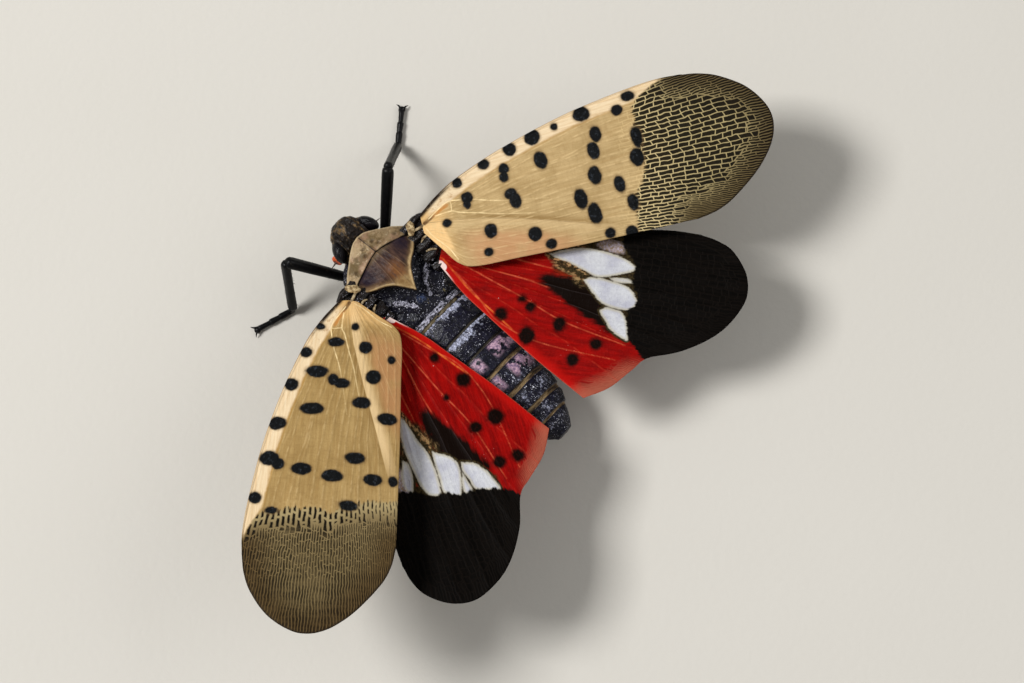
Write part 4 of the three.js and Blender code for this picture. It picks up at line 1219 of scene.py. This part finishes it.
ring, outward = trunk_grid(HEAD_SECTIONS[::-1], HEAD_START, HEAD_END, 150, 180, 0.8)
x, y, z = ring[..., 0], ring[..., 1], ring[..., 2]
top = ease(z, 4.3, 4.9)
ridge = np.abs(np.abs(x) - (0.66 + 0.12 * (y + 2.4))) / 0.08
from_eye = np.linalg.norm((np.dstack([np.abs(x), y, z]) - EYE_CENTRE) / EYE_RADII, axis=-1)
relief = (0.1 * np.exp(-ridge ** 2) * top + 0.05 * np.exp(-(x / 0.06) ** 2) * top
          - 0.06 * top * (np.abs(x) < 0.6))
relief += 0.14 * np.exp(-((from_eye - 1.16) / 0.12) ** 2) - 0.05
relief += (0.07 * unevenness(ring, 0.45, 21) + 0.05 * unevenness(ring, 0.19, 22)
           + 0.02 * unevenness(ring, 0.08, 23))
ring = ring + outward * relief[..., None]
head_shape = sleeve(ring)


def on_side(side, point):
    return np.array(point, float) * [SIDES[side], 1, 1]


def antenna_shape(side):
    root, end = on_side(side, ANTENNA[0]), on_side(side, ANTENNA[1])
    shares = np.array([0, 0.08, 0.16, 0.27, 0.36, 0.45, 0.5, 0.6, 0.75, 1.0])
    radii = np.array([0.16, 0.26, 0.33, 0.36, 0.34, 0.2, 0.07, 0.05, 0.035, 0.012])
    places = curve(np.column_stack([shares, radii]), 60)
    path = root + places[:, :1] * (end - root)
    return tube(path, places[:, 1], 36), capped(np.repeat(places[:, 0], 36), 0, 1)


print("eye centre:", EYE_CENTRE)

# %% [markdown]
# Where a wing meets the body lies a knot of small hardened bits in folded black skin: the hinge.
# Seen from above it is a crumpled bridge between the plates and the wing's root. A few tubes
# from the side of the thorax to the roots make it, crumpled by noise in all three directions,
# and a few thin pale strips lie over them. Each row is a tube: places on its path, with its
# radius there as the fourth number.

# %% Wing hinges
HINGE_TUBES = [
    [(2.0, 0.8, 5.1, 0.5), (2.6, 0.8, 5.25, 0.52), (3.2, 0.72, 5.42, 0.5), (3.75, 0.7, 5.55, 0.36)],
    [(1.9, 2.2, 4.9, 0.5), (2.5, 2.2, 5.0, 0.5), (3.0, 2.1, 5.15, 0.42), (3.4, 2.0, 5.3, 0.2)],
    [(2.1, 0.2, 5.55, 0.34), (2.7, 0.22, 5.85, 0.27), (3.3, 0.2, 6.0, 0.22), (3.85, 0.32, 5.98, 0.1)],
    [(2.1, 0.95, 5.65, 0.34), (2.7, 1.05, 5.86, 0.28), (3.2, 1.05, 5.94, 0.22), (3.6, 0.95, 5.94, 0.1)],
    [(2.1, 1.6, 5.55, 0.32), (2.6, 1.7, 5.74, 0.26), (3.05, 1.65, 5.86, 0.2), (3.45, 1.5, 5.9, 0.1)],
    [(2.0, 2.3, 5.2, 0.3), (2.45, 2.4, 5.42, 0.26), (2.85, 2.35, 5.55, 0.18), (3.2, 2.2, 5.65, 0.08)],
    [(2.0, 3.0, 4.95, 0.3), (2.4, 3.1, 5.12, 0.26), (2.8, 3.1, 5.2, 0.18), (3.1, 3.1, 5.24, 0.08)],
]
HINGE_STRIPS = [
    [(2.5, 0.62, 6.2, 0.05), (2.85, 0.78, 6.24, 0.09), (3.25, 0.88, 6.22, 0.08), (3.5, 0.85, 6.18, 0.04)],
    [(2.45, 1.5, 6.0, 0.04), (2.75, 1.42, 6.1, 0.08), (3.05, 1.5, 6.1, 0.04)],
    [(2.3, 2.05, 5.7, 0.04), (2.6, 2.2, 5.78, 0.08), (2.85, 2.45, 5.75, 0.04)],
]


def crumpled(shape, depth, size, seed):
    """A shape whose points are moved a little in all three directions by smooth noise."""
    points, faces = shape
    moves = np.stack([unevenness(points, size, seed + n) for n in range(3)], -1)
    return points + depth * moves, faces


def hinge_shape(side):
    shapes, pale = [], []
    for seed, points in enumerate(HINGE_TUBES + HINGE_STRIPS):
        path = curve(np.array(points) * [SIDES[side], 1, 1, 1], 46)
        fleshy = seed < len(HINGE_TUBES)
        ridges, broad, fine = (0.14, 0.035, 0.014) if fleshy else (0, 0.015, 0.008)
        folded = crumpled(tube(path[:, :3], path[:, 3], 30, ridges), broad, 0.3, 50 + 3 * seed)
        shapes.append(crumpled(folded, fine, 0.12, 80 + 3 * seed))
        pale.append(np.full(len(folded[0]), 0.0 if fleshy else 1.0))
    return together(shapes), np.concatenate(pale)


print("hinge bits on each side:", len(HINGE_TUBES) + len(HINGE_STRIPS))

# %% [markdown]
# ## Legs
#
# Each leg has a short coxa at the body, a femur, a long thin tibia and a foot of three joints
# with two claws. All are slender tubes with a faint five-sided section, set with fine bristles,
# and the hind tibia bears the strong spines that planthoppers jump with.

# %% Legs
LEGS = {
    "fore": {"root": (0.9, -0.5, 1.75), "hip": (1.7, -1.08, 1.95), "femur": 0.36, "tibia": 0.29},
    "mid": {"root": (0.95, 1.3, 1.42), "hip": (1.8, 1.55, 1.5), "femur": 0.36, "tibia": 0.28},
    "hind": {"root": (0.95, 3.55, 1.12), "hip": (1.8, 4.0, 1.3), "femur": 0.38, "tibia": 0.3},
}
STANCE = {
    "left": {
        "fore": {"knee": (3.95, -4.15, 4.55), "ankle": (5.3, -2.5, 0.55), "toe": (7.75, -3.3)},
        "mid": {"knee": (5.2, 2.9, 4.2), "ankle": (7.7, 4.4, 0.55), "toe": (9.9, 5.5)},
        "hind": {"knee": (4.9, 7.4, 3.9), "ankle": (9.3, 11.9, 0.55), "toe": (11.0, 13.7)},
    },
    "right": {
        "fore": {"knee": (-4.75, -3.5, 5.0), "ankle": (-6.95, -4.85, 0.55), "toe": (-8.95, -6.35)},
        "mid": {"knee": (-5.1, 3.1, 4.2), "ankle": (-7.5, 4.9, 0.55), "toe": (-9.6, 6.2)},
        "hind": {"knee": (-4.8, 7.6, 3.9), "ankle": (-8.8, 12.2, 0.55), "toe": (-10.4, 14.1)},
    },
}
SPINE_ROW = (0.24, 0.4, 0.56, 0.71, 0.85)


def segment(start, end, shares, radii, count=40, ridges=0.05, sides=20):
    start, end = np.array(start, float), np.array(end, float)
    travel = np.linspace(0, 1, count)
    return tube(start + travel[:, None] * (end - start), np.interp(travel, shares, radii), sides, ridges)


def bristles(start, end, radius, count, length, draw):
    """Fine hairs all round a limb, leaning towards its far end."""
    start, end = np.array(start, float), np.array(end, float)
    along = (end - start) / np.linalg.norm(end - start)
    aside = np.cross(along, [0, 0, 1])
    aside /= np.linalg.norm(aside)
    above = np.cross(aside, along)
    hairs = []
    for _ in range(count):
        share, turn = draw.uniform(0.06, 0.98), draw.uniform(0, 2 * math.pi)
        out = math.cos(turn) * aside + math.sin(turn) * above
        base = start + share * (end - start) + out * radius * 0.85
        reach = length * draw.uniform(0.7, 1.2)
        hairs.append(spike(base, base + (0.55 * out + 0.85 * along) * reach, 0.016, 4))
    return hairs


def leg_shape(side, which, draw):
    leg, stance = LEGS[which], STANCE[side][which]
    root, hip = on_side(side, leg["root"]), on_side(side, leg["hip"])
    knee, ankle = np.array(stance["knee"], float), np.array(stance["ankle"], float)
    toe = np.array([*stance["toe"], 0.24])
    thick, thin = leg["femur"], leg["tibia"]
    shapes = [
        segment(root, hip, [0, 0.2, 0.8, 1], [0.25, 0.38, 0.36, 0.2], 24),
        segment(hip, knee, [0, 0.04, 0.12, 0.55, 0.9, 0.96, 0.985, 1],
                [thick * s for s in (0.5, 0.8, 0.9, 1.02, 1.06, 1.0, 0.8, 0.4)], 70),
        segment(knee, ankle, [0, 0.02, 0.06, 0.5, 0.9, 0.96, 0.985, 1],
                [thin * s for s in (0.5, 0.95, 1.05, 1.0, 1.06, 1.02, 0.85, 0.5)], 70),
    ]
    shapes += bristles(knee, ankle, thin, 70, 0.24, draw)
    shapes += bristles(hip, knee, thick, 40, 0.16, draw)
    ground = ankle * [1, 1, 0] + [0, 0, 0.26]
    shapes.append(segment(ankle + [0, 0, 0.1], ground + 0.06 * (toe - ground), [0, 0.5, 1],
                          [0.13, 0.19, 0.15], 14, 0))
    for start, end, radius in ((-0.03, 0.4, 0.22), (0.36, 0.66, 0.21), (0.62, 0.98, 0.18)):
        a, b = ground + start * (toe - ground), ground + end * (toe - ground)
        shapes.append(segment(a, b, [0, 0.1, 0.8, 0.93, 1],
                              [radius * s for s in (0.62, 0.82, 1, 0.94, 0.5)], 26, 0))
        shapes += bristles(a, b, radius * 0.8, 14, 0.16, draw)
    heading = (toe - ground) / np.linalg.norm(toe - ground)
    sideways = np.cross(heading, [0, 0, 1])
    shapes.append(blob(toe * [1, 1, 0] + [0, 0, 0.16] - heading * 0.02, (0.24, 0.22, 0.155), 14, 20))
    for sign in (1, -1):
        out = heading * 0.6 + sideways * sign * 0.75
        claw = [toe + sideways * sign * 0.06 - heading * 0.12, toe + out * 0.26 + [0, 0, 0.08],
                toe + out * 0.5 - [0, 0, 0.1]]
        shapes.append(tube(curve(claw, 12), np.linspace(0.1, 0.018, 12), 8))
    if which == "hind":
        shapes += hind_spines(side, knee, ankle, thin, draw)
    return together(shapes)


def hind_spines(side, knee, ankle, thin, draw):
    along = (ankle - knee) / np.linalg.norm(ankle - knee)
    outer = np.cross([0, 0, 1], along) * -SIDES[side]
    outer /= np.linalg.norm(outer)
    third = np.cross(along, outer)
    spines = []
    for share in SPINE_ROW:
        base = knee + share * (ankle - knee) + outer * thin * 0.5
        reach = 0.68 * draw.uniform(0.9, 1.1)
        spines.append(spike(base, base + (outer + 0.75 * along) * reach, 0.15, 10))
    for k in range(6):
        turn = 2 * math.pi * k / 6
        out = math.cos(turn) * outer + math.sin(turn) * third
        base = ankle - along * 0.25 + out * thin * 0.5
        spines.append(spike(base, base + (out + 0.8 * along) / 1.28 * 0.55, 0.11, 8))
    return spines


print("legs to build:", len(LEGS) * len(SIDES))

# %% [markdown]
# ## Finishes of the body
#
# The belly and the rear of the thorax are black cuticle under drifting wax. One recipe does both:
# a grainy black ground, with a painted bluish sheen on the tops of the grain and painted shade
# in its dents, then the bloom on top, raised a little so that it catches light.
# How much wax lies where is a mask of its own, made from the stored place in the ring.

# %% Waxed cuticle
def waxed_cuticle(ground, sheen, film_color, amount, flake, stretch=(1, 1, 1)):
    """Black grainy cuticle dusted with wax: its colour, its height and its roughness."""
    place = point_in_space()
    film, specks, height = effect(wax, None, Place=scaled(place, stretch), Amount=amount, Flake=flake)
    # The tops of the grain get the lighter bluish sheen colour and the dents the black: painted sheen and
    # painted shade.
    color = mix(pebble_shading(place, 0.09), ground, sheen)
    thin = (*(0.4 * part for part in linear(film_color)[:3]), 1)
    flaky = fade(noise(place, 7, 4, 0.75), 0.4, 0.62)
    color = mix(film * 0.9, color, mix(flaky, thin, film_color))
    return mix(specks, color, (222, 222, 234)), pebbled(place, 0.09, 0.03) + height, film * 0.4 + 0.35


def thorax_finish():
    material = new_finish("waxed thorax", 0.4, specular=0.14)
    place = point_in_space()
    behind, back = field("behind"), field("back")
    crest = fade(noise(place, 2.2, 4, 0.7) * 0.7 + field("crest"), 0.75, 1.25)
    brushed = fade(noise(place, (2.6, 6.76, 2.6), 4, 0.75), 0.4, 0.6, 0.15, 1)
    amount = crest * brushed * 1.3 + back * 0.2
    color, height, roughness = waxed_cuticle((9, 9, 13), (26, 26, 38), (206, 204, 222), amount, 0.15)
    bluish = field("knob") * fade(noise(place, 6, 4, 0.7), 0.4, 0.62)
    color = mix(bluish * 0.7, color, (64, 78, 112))
    creases = fade(noise(place, (3.52, 1.76, 1.6), 4, 0.7), 0.58, 0.66) * back
    creases = creases * fade(behind, 3.9, 4.3) * fade(behind, 4.8, 4.5)
    color = mix(creases * 0.8, color, (108, 100, 72))
    seam = fade(behind, 5.12, 5.18) * back * 0.9
    color = mix(seam, color, mix(noise(place, 5, 3), (64, 56, 40), (118, 104, 76)))
    return finished(material, color, height, roughness)


def hinge_finish():
    material = new_finish("folded hinge skin", 0.4, specular=0.16)
    place = point_in_space()
    amount = fade(noise(place, 1.6, 3, 0.6), 0.45, 0.7, 0.08, 0.5)
    color, height, roughness = waxed_cuticle((9, 8, 8), (38, 31, 28), (158, 150, 152), amount, 0.15)
    strip = mix(fade(noise(place, 5, 4, 0.7), 0.35, 0.65), (176, 158, 124), (84, 64, 42))
    return finished(material, mix(field("pale"), color, strip), height, roughness)


def abdomen_finish():
    material = new_finish("waxed abdomen rings", 0.4, specular=0.16)
    share, ring, aside, skin, upper = map(field, ("share", "ring", "aside", "skin", "upper"))
    place = point_in_space()
    patchy = noise(place, (1.3, 0.7, 1), 3, 0.6)
    front_band = fade(share, 0, 0.05) * fade(share, 0.5, 0.1) * fade(patchy, 0.38, 0.58)
    front_edge = fade(share, 0, 0.03) * fade(share, 0.16, 0.06) * 0.75
    amount = most(front_band, front_edge) + 0.16
    amount = amount * fade(ring, 0.4, 0.6, 0.72, 1)
    amount = amount * fade(ring, 1.6, 1.4)
    amount = most(amount, fade(ring, 1.4, 3.6, 0, 0.42) * fade(share, 0.02, 0.2))
    amount = amount * fade(upper, 0, 1, 0.3, 1)
    color, height, roughness = waxed_cuticle((8, 8, 12), (26, 25, 42), (206, 210, 236), amount, 0.16,
                                             (1.2, 0.75, 1))
    lilac_rings = fade(ring, 1.4, 1.6) * fade(ring, 3.6, 3.4)
    flank = fade(aside, 0.3, 0.6) * fade(share, 0.02, 0.1) * fade(share, 0.75, 0.42)
    fringed = noise(place, 1.4, 2, 0.5) + noise(place, 5, 4, 0.75) * 0.4
    lilac = mix(fade(noise(place, 6, 4, 0.7), 0.35, 0.65), (196, 160, 176), (108, 88, 114))
    lilac_share = lilac_rings * flank * fade(fringed, 0.62, 0.7) * fade(upper, 0.1, 0.5)
    color = mix(lilac_share, color, lilac)
    seam = fade(skin, -0.03, 0)
    folds = noise(place, (1.2, 7.5, 1.5), 4, 0.7)
    tan = mix(fade(folds, 0.4, 0.62), (134, 112, 78), (62, 48, 34))
    skin_tone = mix(fade(ring, 1.4, 1.6), (52, 47, 38), tan)
    return finished(material, mix(seam, color, skin_tone), height, roughness)


thorax_cuticle, hinge_skin, abdomen_cuticle = thorax_finish(), hinge_finish(), abdomen_finish()
print("waxed finishes ready")

# %% [markdown]
# The two plates and the head are bare cuticle. The pronotum is tan, cloudy and dented. The
# mesonotum is purple-brown and runs out to a tan tip, with thin cream margins at the rear. Its
# marks follow its own shape, so they are masks of the plan map and of the distance to the edge.

# %% Plate and head finishes
def pronotum_finish():
    material = new_finish("tan pronotum", 0.45, specular=0.2)
    x = plan_map()[1]
    place = point_in_space()
    rim = field("rim")
    clouds = noise(place, 1.1, 5, 0.65)
    color = mix(fade(clouds, 0.42, 0.58), (160, 137, 104), (98, 80, 50))
    # The right half of the plate is painted darker: shade on the side that slopes away from the light.
    color = mix(fade(x, 0.6, -1.4, 0, 0.5), color, (100, 80, 50))
    rosy = fade(noise(place, 0.8, 3), 0.48, 0.62)
    color = mix(rosy * 0.45, color, (164, 128, 104))
    spotted = fade(noise(place, 3.4, 4, 0.7), 0.56, 0.68)
    color = mix(spotted * 0.65, color, (86, 68, 42))
    # These pale flecks are painted gloss: highlights laid into the colour.
    painted_gloss = fade(noise(place, 4.6, 3, 0.6), 0.6, 0.72)
    color = mix(painted_gloss * 0.4, color, (214, 194, 160))
    color = mix(field("pits") * fade(clouds, 0.35, 0.55, 0.2, 0.7), color, (56, 41, 26))
    color = mix(line(place, x, 0.09, 0.25), color, (44, 30, 20))
    color = mix(fade(field("brow"), 0.16, 0.03) * 0.5, color, (202, 180, 142))
    # The dark line along the rear edge is painted shade in the gap where the mesonotum tucks under.
    color = mix(fade(rim, 0.09, 0.02), color, (26, 20, 16))
    return finished(material, color, pebbled(place, 0.08, 0.03))


def mesonotum_finish():
    material = new_finish("purple-brown mesonotum", 0.4, specular=0.12)
    plan, x, y = plan_map()
    place = point_in_space()
    rim = field("rim")
    out = abs(x)
    streaks = noise(plan, (4, 0.9, 1), 5, 0.7)
    clouds = noise(plan, 1.2, 4, 0.65)
    color = mix(fade(streaks, 0.35, 0.65), (82, 60, 50), (42, 30, 31))
    corner = fade(out, 0.7, 1.6) * fade(y, 1.7, 0.7) * fade(clouds, 0.25, 0.5)
    color = mix(corner * 0.9, color, (32, 24, 36))
    olive = fade(y, 0.5, 0.1) * fade(out, 1.3, 0.6)
    color = mix(olive * 0.6, color, (104, 88, 66))
    warm = fade(y, 0.7, 1.8) * fade(out, 0.8, 0.15) * fade(streaks, 0.3, 0.55)
    color = mix(warm * 0.85, color, (132, 86, 46))
    tip = patch(place, 2.2 - y, 0.7, 2, 0.35)
    tip_color = mix(fade(clouds, 0.4, 0.6), (164, 138, 94), (128, 100, 62))
    color = mix(tip * 0.92, color, tip_color)
    near_rim = fade(rim, 0.5, 0.15) * fade(clouds, 0.3, 0.6)
    color = mix(near_rim * 0.55, color, (132, 104, 66))
    carinae = out - (y * 0.12 + 0.42)
    color = mix(line(place, carinae, 0.07, 0.9) * 0.4, color, (140, 112, 84))
    color = mix(line(place, x, 0.06, 0.8) * 0.5, color, (150, 118, 84))
    band_width = fade(x, 0.3, -0.8, 0.1, 0.2)
    cream = patch(place, rim - band_width, 0.26, 1.6, 0.08)
    frayed = fade(noise(place, 3, 4, 0.7), 0.36, 0.6, 0.95, 0.4)
    color = mix(cream * frayed, color, (184, 158, 114))
    color = mix(fade(rim, 0.035, 0), color, (48, 36, 26))
    return finished(material, color, pebbled(place, 0.06, 0.02) + streaks * 0.03)


def head_finish():
    material = new_finish("mottled head", 0.42, specular=0.18)
    place = point_in_space()
    # The grain's dents are painted darker and its tops lighter: painted shade and painted light.
    color = mix(pebble_shading(place, 0.1), (12, 9, 8), (36, 27, 21))
    along = noise(place, (2.4, 1, 1.4), 5, 0.75)
    color = mix(fade(along, 0.5, 0.6) * 0.85, color, (104, 82, 52))
    color = mix(fade(along, 0.6, 0.68) * 0.8, color, (142, 116, 78))
    return finished(material, color, pebbled(place, 0.1, 0.05))


def tegula_finish():
    material = new_finish("pale tegula", 0.5, specular=0.2)
    place = point_in_space()
    clouds = noise(place, 3.4, 5, 0.75)
    color = mix(fade(clouds, 0.38, 0.56), (196, 174, 132), (118, 94, 60))
    return finished(material, mix(fade(clouds, 0.56, 0.64), color, (40, 30, 24)), pebbled(place, 0.1, 0.06))


pronotum_cuticle, mesonotum_cuticle = pronotum_finish(), mesonotum_finish()
head_cuticle, tegula_cuticle = head_finish(), tegula_finish()
print("bare cuticle finishes ready")

# %% [markdown]
# The legs are polished black, the eyes a deep purple-black with thousands of facets, and the
# bulbs of the antennae a warm orange red, pitted all over with sense organs.

# %% Leg, eye and antenna finishes
def leg_finish():
    material = new_finish("black leg", 0.38, specular=0.14)
    place = point_in_space()
    # The grain's dents are painted darker and its tops lighter: painted shade and painted light.
    color = mix(pebble_shading(place, 0.07), (4, 4, 5), (14, 13, 14))
    dusty = fade(noise(place, 2.4, 5, 0.75), 0.6, 0.72)
    color = mix(dusty * 0.22, color, (88, 80, 68))
    return finished(material, color, pebbled(place, 0.07, 0.014), dusty * 0.3 + 0.34)


def eye_finish():
    material = new_finish("faceted eye", 0.12, specular=0.16)
    place = point_in_space()
    facets = voronoi(place, 26, "DISTANCE_TO_EDGE", Randomness=0.25)
    band = fade(noise(place, (0.5, 0.5, 2.5), 2), 0.35, 0.65)
    return finished(material, mix(band, (4, 4, 6), (13, 10, 14)), fade(facets, 0, 0.25) * 0.004)


def antenna_finish():
    material = new_finish("orange antenna", 0.38)
    place = point_in_space()
    pits = voronoi(place, 14)
    along = field("along")
    color = mix(fade(pits, 0.1, 0.6), (136, 38, 14), (202, 84, 30))
    color = mix(fade(along, 0.12, 0), color, (60, 24, 16))
    color = mix(fade(along, 0.42, 0.5), color, (58, 32, 22))
    return finished(material, color, fade(pits, 0, 0.5) * 0.02)


leg_cuticle, eye_gloss, antenna_orange = leg_finish(), eye_finish(), antenna_finish()
print("finishes in all:", len(bpy.data.materials))

# %% [markdown]
# ## Putting the pieces together
#
# Everything is ready: shapes, stored fields and finishes. Each piece is now made, named, and
# put in the place of the solids that it stands for, which are hidden. The four wings come first.

# %% Wings
FOREWING_SIZE, HINDWING_SIZE = (300, 160), (260, 165)


def add_wing(kind, side, outline, veins, pose, fields, size, material, camber, vein_height, fold):
    """Shapes one wing, puts it in its pose and stores its fields and its plan map."""
    plan = wing_patch(outline, *size)
    faces = wing_faces(plan, veins, camber, vein_height, fold, 40 if side == "left" else 41)
    shape = two_faced(*(place_wing(face, side, **pose[side]) for face in faces))
    both = {name: np.tile(values.ravel(), 2) for name, values in fields(plan, side).items()}
    add_piece(f"{kind}_skin_{side}", shape, material, [f"{kind}_{side}"], both,
              np.tile(plan.reshape(-1, 2), (2, 1)))


for side in SIDES:
    add_wing("forewing", side, FOREWING_OUTLINE, FOREWING_VEINS, FOREWING_POSE, forewing_fields,
             FOREWING_SIZE, forewing_leather[side], camber=0.35, vein_height=0.022, fold=0.006)
    add_wing("hindwing", side, HINDWING_OUTLINE, HINDWING_VEINS, HINDWING_POSE, hindwing_fields,
             HINDWING_SIZE, hindwing_membrane, camber=0.15, vein_height=0.03, fold=0.025)

# %% [markdown]
# The trunk, the plates and the head follow, each with the finish made for it. Each names its
# solids, but the folds at the wing roots have no solid of their own and name none.

# %% Trunk, plates and head
add_piece("thorax_skin", thorax_shape, thorax_cuticle, ["thorax"], thorax_fields)
add_piece("abdomen_skin", abdomen_shape, abdomen_cuticle, [f"abdomen_{n}" for n in range(1, 8)],
          abdomen_fields)
add_piece("pronotum_shield", pronotum_shape, pronotum_cuticle, ["pronotum"], pronotum_fields,
          np.tile(pronotum_plan.reshape(-1, 2), (2, 1)))
add_piece("mesonotum_shield", mesonotum_shape, mesonotum_cuticle, ["mesonotum"],
          mesonotum_fields, np.tile(mesonotum_plan.reshape(-1, 2), (2, 1)))
add_piece("head_capsule", head_shape, head_cuticle, ["head"])
beak_radii = np.interp(np.linspace(0, 1, 40), [0, 0.1, 0.9, 1], [0.3, 0.27, 0.2, 0.05])
add_piece("beak", tube(curve(BEAK, 40), beak_radii), leg_cuticle, ["rostrum"])
for side in SIDES:
    eyeball = blob(on_side(side, EYE_CENTRE), EYE_RADII, 40, 56, turn=-EYE_TURN * SIDES[side])
    add_piece(f"eyeball_{side}", eyeball, eye_gloss, [f"eye_{side}"])
    shape, along = antenna_shape(side)
    add_piece(f"antenna_bulb_{side}", shape, antenna_orange, [f"antenna_{side}"],
              {"along": along})
    tegula = blob(on_side(side, TEGULA_CENTRE), TEGULA_RADII, 30, 40, 5, 0.16, 0.2, -0.95 * SIDES[side])
    add_piece(f"tegula_shell_{side}", tegula, tegula_cuticle, [f"tegula_{side}"])
    shape, pale = hinge_shape(side)
    add_piece(f"wing_hinge_{side}", shape, hinge_skin, fields={"pale": pale})

# %% [markdown]
# Each leg is one skin that stands for four solids. The bristles of the three legs on a side
# come from one row of random draws, started at a fixed number, so every run has the same ones.

# %% Legs in place
for side in SIDES:
    draw = np.random.default_rng(7 if side == "left" else 8)
    for which in LEGS:
        solids = [f"{which}leg_{part}_{side}" for part in ("coxa", "femur", "tibia", "tarsus")]
        add_piece(f"{which}leg_skin_{side}", leg_shape(side, which, draw), leg_cuticle, solids)

# %% [markdown]
# ## Floor, light and the end
#
# The insect stands on a plain pale floor, lit softly as on a photographer's table.

# %% Floor
FLOOR_SIZE = 0.6
stone = new_finish("pale floor", 0.85, specular=0.2)
cloudy = mix(noise(point_in_space(), 0.02, 4, 0.6), (208, 204, 196), (200, 196, 187))
finished(stone, cloudy, noise(point_in_space(), 2, 3) * 0.02)
floor_mesh = bpy.data.meshes.new("floor")
corners = [(x * FLOOR_SIZE, y * FLOOR_SIZE, 0) for x, y in ((-1, -1), (1, -1), (1, 1), (-1, 1))]
floor_mesh.from_pydata(corners, [], [(0, 1, 2, 3)])
floor = bpy.data.objects.new("floor", floor_mesh)
bpy.context.scene.collection.objects.link(floor)
floor_mesh.materials.append(stone)
print("floor is", 2 * FLOOR_SIZE, "metres wide")

# %% [markdown]
# A large lamp above the left shoulder of the picture is the key light, and a wider, weaker one
# opposite lifts the shadows. Large lamps give soft shadow edges, as a window does.

# %% Lights
def area_light(name, place, size, power):
    light = bpy.data.lights.new(name, "AREA")
    light.size, light.energy = size, power
    lamp = bpy.data.objects.new(name, light)
    bpy.context.scene.collection.objects.link(lamp)
    lamp.location = place
    lamp.rotation_euler = (-lamp.location).to_track_quat("-Z", "Y").to_euler()


area_light("key light", (0.2, -0.28, 0.44), 0.16, 3.1)
area_light("fill light", (-0.3, 0.25, 0.3), 0.4, 0.7)
world = bpy.data.worlds.new("studio")
bpy.context.scene.world = world
world.use_nodes = True
world.node_tree.nodes["Background"].inputs["Color"].default_value = (1, 1, 1, 1)
world.node_tree.nodes["Background"].inputs["Strength"].default_value = 0.3
bpy.context.scene.view_settings.view_transform = "Standard"
